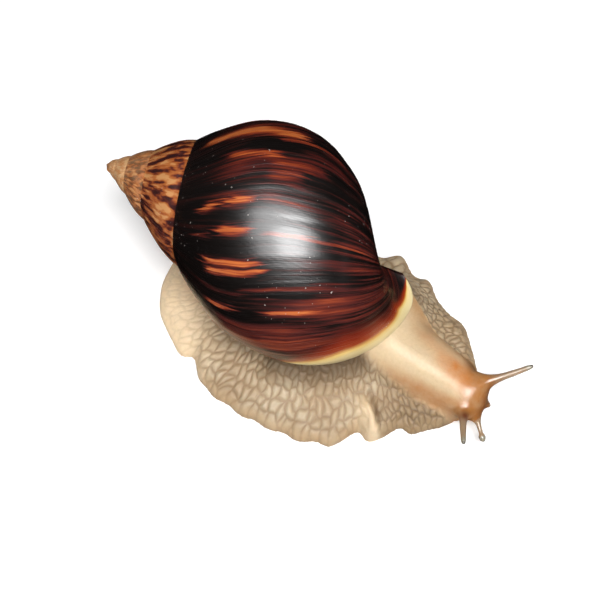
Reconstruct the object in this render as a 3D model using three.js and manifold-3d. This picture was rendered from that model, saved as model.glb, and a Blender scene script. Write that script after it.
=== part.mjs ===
// Giant african land snail, life size, as a still museum model.
// Millimetres, +Z up. The flat sole lies on z = 0, the head looks along +X
// and the animal's left side is +Y.
import * as THREE from "three";
import { mergeVertices } from "three/addons/utils/BufferGeometryUtils.js";
import Module from "manifold-3d";

const wasm = await Module();
wasm.setup();

// ---- Driving dimensions ----
const TURN = 2 * Math.PI;
const GAP = 0.3; // between neighbouring pieces
const SHELL_ROOM = 0.4; // between the shell and the flesh round it
const SHARPEST = 0.3; // cosine that limits a mitred corner
const COLUMELLA_ROOM = 1.4;
const WELD = 0.02; // points closer than this become one
const SPAN = 300; // half-space blocks are this large

const SHELL = {
  length: 120, // apex to base, along the axis
  apex: new THREE.Vector3(-81.2, 15.2, 41.9),
  axisYaw: -1.2, // degrees, towards the animal's right
  axisPitch: -5.4, // degrees, the base lies lower than the apex
  expansion: 1.81, // growth of every size in one turn
  turns: 5,
  periphery: 82, // axial distance from the apex to the widest place
  radius: 46.6, // at the widest place, beside the lip
  upperRun: 47.3, // axial reach of the upper half's ellipse
  spireCone: 0.75, // share of a straight cone in the sides of the spire
  lowerPower: 2.04,
  lowerRound: 1.71,
  baseRadius: 13.3, // where the rounded base turns inward
  baseDent: 6.8,
  lipAngle: 108.3, // degrees from straight up to the lip, over the right side
  baseSwell: 2.6, // the whorl is this much fuller towards its base, but not at the lip
  swellStart: 0.52, // from this fraction of the way to the base pole
  lipTuck: 3, // the grown lip draws in by this much
  tuckAngle: 28, // over these last degrees of growth
};

const FOOT = {
  tailX: -54.5,
  widestX: 9,
  frontX: 70,
  halfWidth: 40.5,
  tailBend: 2.4, // the tail end lies this far to the left
  middleBend: -1.2,
  frontBend: -4.8, // the front end lies this far to the right
  frontPower: 1.7,
  frontRound: 1.5,
  edge: 2.4, // thickness of the margin
  edgeRun: 1.3, // the margin is rounded over this distance
  rise: 5.6, // the back rises by this much more
  riseRun: 12,
};

// Lobes and notches of the margin: side -1 is the right, +1 the left.
const MARGIN_LOBES = [
  { side: -1, x: -40, reach: 7, out: -1.6 },
  { side: -1, x: -30.5, reach: 6, out: -5.2 },
  { side: -1, x: 18, reach: 9, out: 1 },
  { side: -1, x: 26.5, reach: 5, out: 1.2 },
  { side: -1, x: 34.5, reach: 5.5, out: -4.4 },
  { side: -1, x: 41.5, reach: 3.2, out: -0.4 },
  { side: -1, x: 47.5, reach: 6, out: -5.2 },
  { side: -1, x: 58, reach: 7, out: -1.4 },
  { side: 1, x: 26, reach: 8.5, out: 5.6 },
  { side: 1, x: 38.5, reach: 6.5, out: 5.2 },
  { side: 1, x: 57, reach: 15, out: 4.4 },
  { side: 1, x: -22, reach: 8, out: -2 },
  { side: 1, x: 2, reach: 9, out: 1.2 },
];
const MARGIN_WAVE = { height: 0.45, length: 11 };

const FLANK = {
  lipStart: 0.3, // the flesh leaves the lip from this fraction of its length on
  backX: -8, // and its inner edge starts here
  columellaSide: -1, // beside the shell's axis
  inset: 1.9, // the flesh comes out this far inside the lip
  below: 0.6, // and this far below the lip's plane
  slope: 1.75, // fall of the flank, per millimetre outward
  rearSlope: 1.2, // it falls more gently towards the tail
  easeX: -4,
  easeRun: 26,
  innerSlope: 4,
  depth: 3, // within its edge the flesh stands this much higher, up against the shell
  blend: 6, // softness of the meeting with the foot
};

const NECK = {
  startX: 12,
  startRun: 14, // it rises out of the foot over this length
  endX: 66,
  startY: 2.5,
  endY: -7.6,
  startHalfWidth: 17,
  endHalfWidth: 8.2,
  startTop: 27,
  endTop: 17.4,
  power: 2.2,
  floor: 2,
  blend: 4.5,
};

const HEAD = {
  centre: new THREE.Vector3(65.9, -7.8, 10.9),
  yaw: -17,
  size: new THREE.Vector3(8.2, 7.7, 6.9),
  snoutCentre: new THREE.Vector3(69.1, -9, 7.4),
  snoutSize: new THREE.Vector3(3.9, 5.2, 4.7),
};

// Feelers run from inside the head over a bend to the tip.
const UPPER_FEELER = { root: 4.8, waist: 1.25, tip: 0.8, bulb: 1, flare: 0.42, start: 0.34, split: 0.66 };
const LOWER_FEELER = { root: 3.4, waist: 0.9, tip: 0.75, bulb: 1.15, flare: 0.5, start: 0.36 };
const NUB_FEELER = { root: 2, waist: 0.8, tip: 0.62, bulb: 0.62, flare: 0.5, start: 0.5 };
const EYE = { radius: 0.62, out: 0.75, sides: 10 };
const FEELERS = {
  upper_left: { shape: UPPER_FEELER, path: [[66.6, -5.2, 12.8], [74.5, -1.4, 16.2], [83, 4.6, 20.4]] },
  upper_right: { shape: UPPER_FEELER, path: [[65.4, -10.6, 12.8], [67.4, -19, 16.4], [70.1, -29, 18.6]] },
  lower_left: { shape: NUB_FEELER, path: [[68.8, -7.4, 7.6], [71.8, -7.3, 6.6], [73.9, -7.1, 5.4]] },
  lower_right: { shape: LOWER_FEELER, path: [[68.2, -9.8, 7.8], [71.8, -14.4, 7.4], [75.8, -20.1, 5.6]] },
};

// Cuts between the lengths of the body.
const CUT = { tailX: -27, middleX: 24, headX: 59.5, neckZ: 9.2, headZ: 3.3, collarDrop: 4 };

const COLOURS = {
  shell: 0x3a1c14,
  collar: 0xd9c19a,
  foot: 0xc9b08c,
  neck: 0xe3c493,
  head: 0xc58a50,
  feeler: 0x8d7a68,
  eye: 0x4a4c44,
};

// Facets.
const COLUMNS = 36; // of the shell, in a turn
const WHORL_ROWS = 4;
const BASE_ROWS = 12;
const BODY_STATIONS = 50;
const BODY_COLUMNS = 28;
const FEELER_SIDES = 10;
const FEELER_STEPS = 11;

// ---- Small helpers ----
const radians = THREE.MathUtils.degToRad;
const clamp01 = (value) => THREE.MathUtils.clamp(value, 0, 1);
const softStep = (value) => THREE.MathUtils.smoothstep(value, 0, 1);
const softMax = (a, b, softness) => 0.5 * (a + b + Math.hypot(a - b, softness));
const mix = THREE.MathUtils.lerp;

/** A closed geometry from vectors and index triples. */
function closedGeometry(points, faces) {
  const geometry = new THREE.BufferGeometry();
  geometry.setAttribute("position", new THREE.Float32BufferAttribute(points.flatMap((p) => p.toArray()), 3));
  geometry.setIndex(faces.flat());
  return geometry;
}

/** The manifold solid of a closed three.js geometry. */
function solidOf(geometry) {
  const bare = geometry.clone();
  bare.deleteAttribute("normal");
  bare.deleteAttribute("uv");
  const merged = mergeVertices(bare, 1e-5);
  const mesh = new wasm.Mesh({
    numProp: 3,
    vertProperties: new Float32Array(merged.attributes.position.array),
    triVerts: new Uint32Array(merged.index.array),
  });
  return new wasm.Manifold(mesh);
}

/** A geometry holding the biggest body of a manifold solid, with its slivers welded shut. */
function geometryOf(solid) {
  const bodies = solid.decompose().sort((a, b) => b.volume() - a.volume());
  const mesh = bodies[0].getMesh();
  const raw = new THREE.BufferGeometry();
  raw.setAttribute("position", new THREE.BufferAttribute(mesh.vertProperties, 3));
  raw.setIndex(new THREE.BufferAttribute(mesh.triVerts, 1));
  const geometry = mergeVertices(raw, WELD);
  const corners = geometry.index.array;
  const kept = [];
  for (let i = 0; i < corners.length; i += 3) {
    const [a, b, c] = corners.slice(i, i + 3);
    if (a !== b && b !== c && c !== a) kept.push(a, b, c);
  }
  geometry.setIndex(kept);
  return geometry;
}

/** A solid ellipsoid, turned about the vertical. */
function ellipsoid(centre, size, yaw, sides = 20) {
  const ball = new THREE.SphereGeometry(1, sides, Math.round(sides * 0.7));
  ball.scale(size.x, size.y, size.z);
  ball.rotateZ(radians(yaw));
  ball.translate(centre.x, centre.y, centre.z);
  return solidOf(ball);
}

// ---- The shell ----
const shellAxis = new THREE.Vector3(
  Math.cos(radians(SHELL.axisYaw)) * Math.cos(radians(SHELL.axisPitch)),
  -Math.sin(radians(SHELL.axisYaw)) * Math.cos(radians(SHELL.axisPitch)),
  Math.sin(radians(SHELL.axisPitch)),
);
const shellUp = new THREE.Vector3(0, 0, 1).addScaledVector(shellAxis, -shellAxis.z).normalize();
const shellRight = new THREE.Vector3().crossVectors(shellAxis, shellUp);
const growthRate = Math.log(SHELL.expansion) / TURN;

/** Size of the shell at growth angle theta, against its size at the lip. */
const growthAt = (theta) => Math.exp(growthRate * (theta - radians(SHELL.lipAngle)));

/** Radius of the upper half of a whorl as a plain ellipse. */
function ellipseRadius(z) {
  const up = clamp01((SHELL.periphery - z) / SHELL.upperRun);
  return SHELL.radius * Math.sqrt(1 - up * up);
}

/** The straight cone from the apex that just touches the ellipse: its slope, and where it touches. */
function touchingCone() {
  let best = { z: SHELL.periphery, slope: 0 };
  for (let z = SHELL.periphery - SHELL.upperRun; z < SHELL.periphery; z += 0.1) {
    const slope = ellipseRadius(z) / z;
    if (slope > best.slope) best = { z, slope };
  }
  return best;
}
const spireCone = touchingCone();

/** Radius of the last whorl at the lip, at an axial distance from the apex. */
function profileRadius(z) {
  if (z < spireCone.z) return mix(ellipseRadius(z), spireCone.slope * z, SHELL.spireCone);
  if (z < SHELL.periphery) return ellipseRadius(z);
  const down = clamp01((z - SHELL.periphery) / (SHELL.length - SHELL.periphery));
  const round = (1 - down ** SHELL.lowerPower) ** (1 / SHELL.lowerRound);
  return SHELL.baseRadius + (SHELL.radius - SHELL.baseRadius) * round;
}

/** Axial distance of the suture at the lip, where one whorl meets the next, by bisection. */
function findSuture() {
  const mismatch = (z) => profileRadius(z) - profileRadius(z * SHELL.expansion) / SHELL.expansion;
  let low = SHELL.periphery - SHELL.upperRun;
  let high = spireCone.z;
  for (let step = 0; step < 50; step += 1) {
    const middle = (low + high) / 2;
    if (mismatch(middle) < 0) low = middle;
    else high = middle;
  }
  return (low + high) / 2;
}
const suture = findSuture();

const CAP_START = 0.84; // from this fraction on, the profile turns inward to the base pole

/** Axial and radial place at a fraction of the way from suture to base pole, at lip size. */
function lastWhorlProfile(fraction) {
  if (fraction <= CAP_START) {
    const along = Math.sin((fraction / CAP_START) * (Math.PI / 2));
    const z = mix(suture, SHELL.length, along);
    return { z, r: profileRadius(z) };
  }
  const inward = (fraction - CAP_START) / (1 - CAP_START);
  return { z: SHELL.length - SHELL.baseDent * inward ** 2, r: SHELL.baseRadius * (1 - inward) };
}

/** Fraction of the place where the next whorl's suture will lie. */
function fractionOfNextSuture() {
  const along = (suture * SHELL.expansion - suture) / (SHELL.length - suture);
  return (CAP_START * Math.asin(along)) / (Math.PI / 2);
}

/** Place in the world of growth angle, axial and radial distance. */
function shellPoint(theta, z, r) {
  return SHELL.apex.clone()
    .addScaledVector(shellAxis, z)
    .addScaledVector(shellUp, r * Math.cos(theta))
    .addScaledVector(shellRight, r * Math.sin(theta));
}

/** A point of the last whorl at a growth angle and a fraction of the way from the suture. */
function lastWhorlPlace(theta, fraction) {
  const beforeLip = radians(SHELL.lipAngle) - theta;
  const place = lastWhorlProfile(fraction);
  const size = growthAt(theta);
  const late = clamp01(1 - beforeLip / radians(SHELL.tuckAngle));
  const tuck = SHELL.lipTuck * late ** 2 * softStep(fraction / 0.3) * clamp01((1 - fraction) * 6);
  const low = clamp01((fraction - SHELL.swellStart) / (1 - SHELL.swellStart));
  const swell = SHELL.baseSwell * (1 - late) * Math.sin(Math.PI * low);
  return { z: place.z * size, r: Math.max((place.r + swell) * size - tuck, 0) };
}

/** The whole shell outside as one closed geometry, with a flat face where the aperture opens. */
function shellOutside() {
  const points = [];
  const add = (theta, z, r) => points.push(shellPoint(theta, z, r)) - 1;
  const columnCount = COLUMNS * SHELL.turns;
  const firstLast = columnCount - COLUMNS;
  const rows = [];
  for (let i = 0; i <= columnCount; i += 1) {
    const theta = radians(SHELL.lipAngle) + ((i - columnCount) * TURN) / COLUMNS;
    const size = growthAt(theta);
    const column = [];
    for (let j = 0; j <= WHORL_ROWS && i <= firstLast; j += 1) {
      const shared = j === 0 && i >= COLUMNS;
      const z = suture * SHELL.expansion ** (j / WHORL_ROWS);
      column.push(shared ? rows[i - COLUMNS][WHORL_ROWS] : add(theta, z * size, profileRadius(z) * size));
    }
    rows.push(column);
  }
  // The last turn runs on from each suture point to the base pole, on the axis.
  const faces = [];
  const lastRows = WHORL_ROWS + BASE_ROWS;
  const lastTurn = [];
  for (let i = firstLast; i <= columnCount; i += 1) {
    const theta = radians(SHELL.lipAngle) + ((i - columnCount) * TURN) / COLUMNS;
    const column = i === firstLast ? rows[i].slice() : [rows[i - COLUMNS][WHORL_ROWS]];
    const startFraction = i === firstLast ? fractionOfNextSuture() : 0;
    const left = lastRows - (column.length - 1);
    for (let j = 1; j <= left; j += 1) {
      const place = lastWhorlPlace(theta, mix(startFraction, 1, j / left));
      column.push(add(theta, place.z, place.r));
    }
    lastTurn.push(column);
  }
  const quad = (a, b, c, d) => faces.push([a, c, b], [a, d, c]);
  for (let i = 0; i < firstLast; i += 1) {
    const [near, far] = [rows[i], rows[i + 1]];
    for (let j = 0; j < WHORL_ROWS; j += 1) quad(near[j], near[j + 1], far[j + 1], far[j]);
  }
  for (let i = 0; i < COLUMNS; i += 1) {
    const [near, far] = [lastTurn[i], lastTurn[i + 1]];
    for (let j = 0; j < lastRows; j += 1) quad(near[j], near[j + 1], far[j + 1], far[j]);
  }
  capApex(points, faces, rows);
  capAperture(points, faces, lastTurn);
  return closedGeometry(points, faces);
}

/** Close the blunt tip with a fan. */
function capApex(points, faces, rows) {
  const tipZ = suture * growthAt(radians(SHELL.lipAngle) - SHELL.turns * TURN) * 0.35;
  const tip = points.push(shellPoint(0, tipZ, 0)) - 1;
  const ring = rows.slice(0, COLUMNS).map((column) => column[0]);
  ring.push(...rows[0].slice(1).reverse());
  for (let i = 0; i < ring.length; i += 1) faces.push([tip, ring[(i + 1) % ring.length], ring[i]]);
}

/** Close the open end of the last whorl with the aperture's face. */
function capAperture(points, faces, lastTurn) {
  const lip = lastTurn[COLUMNS];
  const columella = lastTurn.slice(0, COLUMNS).reverse().map((column) => column[column.length - 1]);
  const innerWall = lastTurn[0].slice(WHORL_ROWS + 1, -1).reverse();
  const loop = [...lip, ...columella, ...innerWall];
  const flat = loop.map((index) => {
    const offset = points[index].clone().sub(SHELL.apex);
    const z = offset.dot(shellAxis);
    return new THREE.Vector2(z, offset.addScaledVector(shellAxis, -z).length());
  });
  const clockwise = THREE.ShapeUtils.isClockWise(flat);
  for (const [a, b, c] of THREE.ShapeUtils.triangulateShape(flat, [])) {
    faces.push(clockwise ? [loop[a], loop[b], loop[c]] : [loop[a], loop[c], loop[b]]);
  }
}

/** The same geometry with each face moved outward, its corners mitred. */
function grown(geometry, distance) {
  const copy = geometry.clone();
  copy.computeVertexNormals();
  const { position, normal } = copy.attributes;
  const corner = (attribute, index) => new THREE.Vector3().fromBufferAttribute(attribute, index);
  const flattest = new Array(position.count).fill(1);
  const index = copy.index.array;
  for (let i = 0; i < index.length; i += 3) {
    const spots = [0, 1, 2].map((k) => corner(position, index[i + k]));
    const face = new THREE.Triangle(...spots).getNormal(new THREE.Vector3());
    if (face.lengthSq() === 0) continue;
    for (let k = 0; k < 3; k += 1) {
      const vertex = index[i + k];
      flattest[vertex] = Math.min(flattest[vertex], face.dot(corner(normal, vertex)));
    }
  }
  for (let i = 0; i < position.count; i += 1) {
    const reach = distance / Math.max(flattest[i], SHARPEST);
    const point = corner(position, i).addScaledVector(corner(normal, i), reach);
    position.setXYZ(i, point.x, point.y, point.z);
  }
  return copy;
}

/** Room for the sharp edge of the last whorl, which runs down the shell's axis. */
function columellaRoom() {
  const [start, end] = [SHELL.length * 0.45, SHELL.length + 1];
  const rod = new THREE.CylinderGeometry(COLUMELLA_ROOM, COLUMELLA_ROOM, end - start, 8);
  rod.applyQuaternion(new THREE.Quaternion().setFromUnitVectors(new THREE.Vector3(0, 1, 0), shellAxis));
  const middle = shellPoint(0, (start + end) / 2, 0);
  rod.translate(middle.x, middle.y, middle.z);
  return solidOf(rod);
}

const shellGeometry = shellOutside();
const shellRoom = solidOf(grown(shellGeometry, SHELL_ROOM)).add(columellaRoom());

// ---- The body as one height above the sole ----

/** Middle line of the foot, as the distance to the left at a distance forward. */
function footMiddle(x) {
  const back = clamp01((FOOT.widestX - x) / (FOOT.widestX - FOOT.tailX));
  const ahead = clamp01((x - FOOT.widestX) / (FOOT.frontX - FOOT.widestX));
  const end = x < FOOT.widestX ? FOOT.tailBend : FOOT.frontBend;
  return mix(FOOT.middleBend, end, (x < FOOT.widestX ? back : ahead) ** 2);
}

/** Half the foot's width on one side, with its lobes. */
function footHalfWidth(x, side) {
  const back = clamp01((FOOT.widestX - x) / (FOOT.widestX - FOOT.tailX));
  const ahead = clamp01((x - FOOT.widestX) / (FOOT.frontX - FOOT.widestX));
  const share = x < FOOT.widestX
    ? Math.sqrt(1 - back * back)
    : (1 - ahead ** FOOT.frontPower) ** (1 / FOOT.frontRound);
  let lobes = MARGIN_WAVE.height * Math.sin((x * TURN) / MARGIN_WAVE.length + side);
  for (const lobe of MARGIN_LOBES) {
    if (lobe.side === side) lobes += lobe.out * Math.exp(-(((x - lobe.x) / (lobe.reach * 0.6)) ** 2));
  }
  return share * FOOT.halfWidth + lobes * Math.min(1, share * 3);
}

/** Height of the flat foot at a distance inward from the margin. */
function skirtHeight(inward) {
  const rim = FOOT.edge * Math.sqrt(1 - (1 - clamp01(inward / FOOT.edgeRun)) ** 2);
  return rim + FOOT.rise * (1 - Math.exp(-inward / FOOT.riseRun));
}

/** A point of the shell's axis at a distance forward. */
function axisAt(x) {
  return SHELL.apex.clone().addScaledVector(shellAxis, (x - SHELL.apex.x) / shellAxis.x);
}

/** The part of the aperture that the flesh fills, seen from above. */
function aperturePlan() {
  const steps = 20;
  const theta = radians(SHELL.lipAngle);
  const plan = [];
  for (let i = 0; i <= steps; i += 1) {
    const place = lastWhorlPlace(theta, mix(FLANK.lipStart, 1, i / steps));
    plan.push(shellPoint(theta, place.z, place.r));
  }
  const poleX = plan[steps].x;
  for (const x of [poleX, (poleX + FLANK.backX) / 2, FLANK.backX]) {
    const side = axisAt(x);
    plan.push(side.setY(side.y + FLANK.columellaSide));
  }
  return plan.map((point) => new THREE.Vector2(point.x, point.y));
}
const aperture = aperturePlan();

/** Distance outside the aperture's plan, negative within it. */
function outsideAperture(x, y) {
  const spot = new THREE.Vector2(x, y);
  let nearest = Infinity;
  let within = false;
  aperture.forEach((start, i) => {
    const end = aperture[(i + 1) % aperture.length];
    const side = end.clone().sub(start);
    const along = clamp01(spot.clone().sub(start).dot(side) / side.lengthSq());
    nearest = Math.min(nearest, spot.distanceTo(start.clone().addScaledVector(side, along)));
    const crosses = start.y > y !== end.y > y;
    if (crosses && x < start.x + ((y - start.y) / (end.y - start.y)) * side.x) within = !within;
  });
  return within ? -nearest : nearest;
}

/** Height of the flesh that comes down from the aperture. */
function flankHeight(x, y) {
  const axis = axisAt(x);
  const right = axis.y - y;
  const plane = axis.z + Math.max(right, 0) / Math.tan(radians(SHELL.lipAngle)) - FLANK.below;
  const outside = outsideAperture(x, y) + FLANK.inset;
  const behind = softStep((FLANK.easeX - x) / FLANK.easeRun);
  const slope = mix(FLANK.slope, FLANK.rearSlope, behind);
  if (outside > 0) return plane - slope * outside;
  const depth = FLANK.depth * clamp01((right - 2) / 4);
  return plane + Math.min(-outside * FLANK.innerSlope, depth);
}

/** Height of the neck's ridge. */
function neckHeight(x, y) {
  const along = clamp01((x - NECK.startX) / (NECK.endX - NECK.startX));
  const middle = mix(NECK.startY, NECK.endY, along ** 1.2);
  const halfWidth = mix(NECK.startHalfWidth, NECK.endHalfWidth, along);
  const across = Math.abs(y - middle) / halfWidth;
  if (across >= 1) return NECK.floor;
  const nose = clamp01((x - CUT.headX) / (NECK.endX + 2 - CUT.headX));
  const behind = softStep((x - NECK.startX + NECK.startRun) / NECK.startRun);
  const top = mix(NECK.startTop, NECK.endTop, along) * Math.sqrt(1 - nose * nose) * behind;
  return NECK.floor + Math.max(top - NECK.floor, 0) * Math.sqrt(1 - across ** NECK.power);
}

/** Height of the body above the sole, at a distance inward from the margin. */
function bodyHeight(x, y, inward) {
  const firm = clamp01(inward / 5);
  const foot = skirtHeight(inward);
  const withFlank = softMax(foot, flankHeight(x, y), FLANK.blend * firm);
  return softMax(withFlank, neckHeight(x, y), NECK.blend * firm);
}

/** Foot, flank and neck as one closed solid on a flat sole. */
function bodySolid() {
  const length = FOOT.frontX - FOOT.tailX;
  const points = [];
  const faces = [];
  const stations = [];
  for (let i = 0; i <= BODY_STATIONS; i += 1) {
    const even = i / BODY_STATIONS;
    const x = FOOT.tailX + length * mix(even, (1 - Math.cos(even * Math.PI)) / 2, 0.5);
    if (i === 0 || i === BODY_STATIONS) {
      const end = points.push(new THREE.Vector3(x, footMiddle(x), 0)) - 1;
      stations.push(new Array(BODY_COLUMNS + 1).fill(end));
      continue;
    }
    const station = [];
    for (let j = 0; j <= BODY_COLUMNS; j += 1) {
      const t = (2 * j) / BODY_COLUMNS - 1;
      const share = mix(t, Math.sin((t * Math.PI) / 2), 0.6);
      const halfWidth = footHalfWidth(x, share < 0 ? -1 : 1);
      const y = footMiddle(x) + share * halfWidth;
      const ends = Math.min(x - FOOT.tailX, FOOT.frontX - x);
      const inward = Math.min((1 - Math.abs(share)) * halfWidth, ends);
      const onRim = j === 0 || j === BODY_COLUMNS;
      station.push(points.push(new THREE.Vector3(x, y, onRim ? 0 : bodyHeight(x, y, inward))) - 1);
    }
    stations.push(station);
  }
  const triangle = (a, b, c) => {
    if (a !== b && b !== c && c !== a) faces.push([a, b, c]);
  };
  for (let i = 0; i < BODY_STATIONS; i += 1) {
    const [back, ahead] = [stations[i], stations[i + 1]];
    for (let j = 0; j < BODY_COLUMNS; j += 1) {
      triangle(back[j], ahead[j], ahead[j + 1]);
      triangle(back[j], ahead[j + 1], back[j + 1]);
    }
    const last = BODY_COLUMNS;
    triangle(back[0], back[last], ahead[last]);
    triangle(back[0], ahead[last], ahead[0]);
  }
  return solidOf(closedGeometry(points, faces));
}

// ---- Feelers ----

/** Radius of a feeler at a share of its length: wide root, slim stalk, small bulb. */
function feelerRadius(shape, share) {
  const flare = clamp01(1 - share / shape.flare);
  const stalk = mix(shape.waist, shape.tip, clamp01((share - shape.flare) / (1 - shape.flare)));
  const bulb = (shape.bulb - shape.tip) * Math.exp(-(((share - 0.95) / 0.06) ** 2));
  return stalk + (shape.root - shape.waist) * flare ** 2.2 + bulb;
}

/** A feeler as a closed tube round its bent path. */
function feelerSolid({ shape, path }) {
  const curve = new THREE.QuadraticBezierCurve3(...path.map((spot) => new THREE.Vector3(...spot)));
  const points = [];
  const faces = [];
  for (let i = 0; i <= FEELER_STEPS; i += 1) {
    const share = Math.sin((i / FEELER_STEPS) * (Math.PI / 2)) * 0.35 + (i / FEELER_STEPS) * 0.65;
    const centre = curve.getPointAt(share);
    const tangent = curve.getTangentAt(share);
    const side = new THREE.Vector3().crossVectors(tangent, new THREE.Vector3(0, 0, 1)).normalize();
    const up = new THREE.Vector3().crossVectors(side, tangent);
    const round = i === FEELER_STEPS ? 0.55 : 1;
    const radius = feelerRadius(shape, share) * round;
    for (let j = 0; j < FEELER_SIDES; j += 1) {
      const turn = (j / FEELER_SIDES) * TURN;
      points.push(centre.clone()
        .addScaledVector(side, radius * Math.cos(turn))
        .addScaledVector(up, radius * Math.sin(turn)));
    }
  }
  for (let i = 0; i < FEELER_STEPS; i += 1) {
    for (let j = 0; j < FEELER_SIDES; j += 1) {
      const next = (j + 1) % FEELER_SIDES;
      const [a, b] = [i * FEELER_SIDES + j, i * FEELER_SIDES + next];
      faces.push([a, a + FEELER_SIDES, b + FEELER_SIDES], [a, b + FEELER_SIDES, b]);
    }
  }
  const rootCentre = points.push(curve.getPointAt(0)) - 1;
  const tip = curve.getPointAt(1).addScaledVector(curve.getTangentAt(1), shape.tip * 0.45);
  const tipCentre = points.push(tip) - 1;
  const lastRing = FEELER_STEPS * FEELER_SIDES;
  for (let j = 0; j < FEELER_SIDES; j += 1) {
    const next = (j + 1) % FEELER_SIDES;
    faces.push([rootCentre, j, next], [tipCentre, lastRing + next, lastRing + j]);
  }
  return { curve, solid: solidOf(closedGeometry(points, faces)) };
}

// ---- Cutting the flesh into its lengths ----

/** Everything on the side of a plane that its normal points to. */
function halfSpace(point, normal) {
  const box = new THREE.BoxGeometry(SPAN, SPAN, SPAN);
  box.translate(0, 0, SPAN / 2);
  box.applyQuaternion(new THREE.Quaternion().setFromUnitVectors(new THREE.Vector3(0, 0, 1), normal));
  box.translate(point.x, point.y, point.z);
  return solidOf(box);
}

/** The two parts of a solid beside a thin cut: first the one that the normal points to. */
function part(solid, point, normal) {
  const step = normal.clone().multiplyScalar(GAP / 2);
  const ahead = halfSpace(point.clone().add(step), normal);
  const behind = halfSpace(point.clone().sub(step), normal.clone().negate());
  return [solid.intersect(ahead), solid.intersect(behind)];
}

const forward = new THREE.Vector3(1, 0, 0);
const upward = new THREE.Vector3(0, 0, 1);
const headward = new THREE.Vector3(Math.cos(radians(HEAD.yaw)), Math.sin(radians(HEAD.yaw)), 0);
const at = (x, y, z) => new THREE.Vector3(x, y, z);

const body = bodySolid().subtract(shellRoom);
const [bodyFront, bodyRear] = part(body, at(CUT.middleX, 0, 0), forward);

const lipDirection = radians(SHELL.lipAngle);
const apertureNormal = new THREE.Vector3()
  .addScaledVector(shellUp, Math.sin(lipDirection))
  .addScaledVector(shellRight, -Math.cos(lipDirection));
const collarSpot = axisAt(0).addScaledVector(apertureNormal, -CUT.collarDrop);
const [collar, footRear] = part(bodyRear, collarSpot, apertureNormal);
const [footMiddleLength, footTail] = part(footRear, at(CUT.tailX, 0, 0), forward);

const headSpot = at(CUT.headX, NECK.endY, 0);
const [frontEnd, frontRest] = part(bodyFront, headSpot, headward);
const [neck, frontFoot] = part(frontRest, at(0, 0, CUT.neckZ), upward);
const frontToe = part(frontEnd, at(0, 0, CUT.headZ), upward)[1];
const toeBehindCut = bodyFront.intersect(halfSpace(at(0, 0, CUT.headZ - GAP / 2), at(0, 0, -1)));
const footFront = frontFoot.add(toeBehindCut).add(frontToe);

const roomy = (size) => size.clone().addScalar(GAP);
const headRoom = ellipsoid(HEAD.centre, roomy(HEAD.size), HEAD.yaw)
  .add(ellipsoid(HEAD.snoutCentre, roomy(HEAD.snoutSize), HEAD.yaw));

let head = part(frontEnd, at(0, 0, CUT.headZ), upward)[0]
  .add(part(ellipsoid(HEAD.centre, HEAD.size, HEAD.yaw), headSpot, headward)[0])
  .add(ellipsoid(HEAD.snoutCentre, HEAD.snoutSize, HEAD.yaw));

const FLESH = { roughness: 0.5, metalness: 0 };
const snail = new THREE.Group();

/** Add a named piece in its colour. */
function addPiece(name, solid, color, finish = FLESH) {
  const mesh = new THREE.Mesh(geometryOf(solid), new THREE.MeshStandardMaterial({ color, ...finish }));
  mesh.name = name;
  snail.add(mesh);
}

/** Add a feeler in its lengths, with an eye at the end of an upper one, and root it in the head. */
function addFeeler(name, feeler) {
  const { curve, solid } = feelerSolid(feeler);
  const { shape } = feeler;
  const [free, root] = part(solid, curve.getPointAt(shape.start), curve.getTangentAt(shape.start));
  const stalk = free.subtract(headRoom);
  head = head.add(root);
  if (!shape.split) {
    addPiece(`tentacle_${name}`, stalk, COLOURS.feeler);
    return;
  }
  const [outer, inner] = part(stalk, curve.getPointAt(shape.split), curve.getTangentAt(shape.split));
  const eyeSpot = curve.getPointAt(1).addScaledVector(curve.getTangentAt(1), EYE.out);
  const eyeSize = new THREE.Vector3(1, 1, 1).multiplyScalar(EYE.radius);
  const socket = ellipsoid(eyeSpot, roomy(eyeSize), 0, EYE.sides);
  addPiece(`tentacle_${name}_base`, inner, COLOURS.feeler);
  addPiece(`tentacle_${name}_stalk`, outer.subtract(socket), COLOURS.feeler);
  addPiece(`eye_${name.replace("upper_", "")}`, ellipsoid(eyeSpot, eyeSize, 0, EYE.sides), COLOURS.eye, {
    roughness: 0.15, metalness: 0,
  });
}

addPiece("shell", solidOf(shellGeometry), COLOURS.shell, { roughness: 0.3, metalness: 0 });
addPiece("mantle_collar", collar, COLOURS.collar);
addPiece("foot_tail", footTail, COLOURS.foot);
addPiece("foot_middle", footMiddleLength, COLOURS.foot);
addPiece("foot_front", footFront, COLOURS.foot);
addPiece("neck", neck, COLOURS.neck);
Object.entries(FEELERS).forEach(([name, feeler]) => addFeeler(name, feeler));
addPiece("head", part(head, at(0, 0, CUT.headZ), upward)[0], COLOURS.head);

// The origin lies on the floor, under the middle of the whole animal.
const middle = new THREE.Box3().setFromObject(snail).getCenter(new THREE.Vector3());
for (const piece of snail.children) piece.geometry.translate(-middle.x, -middle.y, 0);

export default snail;
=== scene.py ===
"""The looks of a life-size giant African land snail, built on the frame of its solids.

Sizes are in millimetres in the animal's own construction frame and become metres, in the
frame of the solids, when a mesh is made.
"""
from __future__ import annotations

import logging
import math
from dataclasses import dataclass, field
from enum import Enum
from typing import Any, Callable, Optional, Union

import bmesh
import bpy
import numpy as np
from mathutils import Matrix, Vector
from mathutils.bvhtree import BVHTree
from mathutils.kdtree import KDTree

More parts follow.
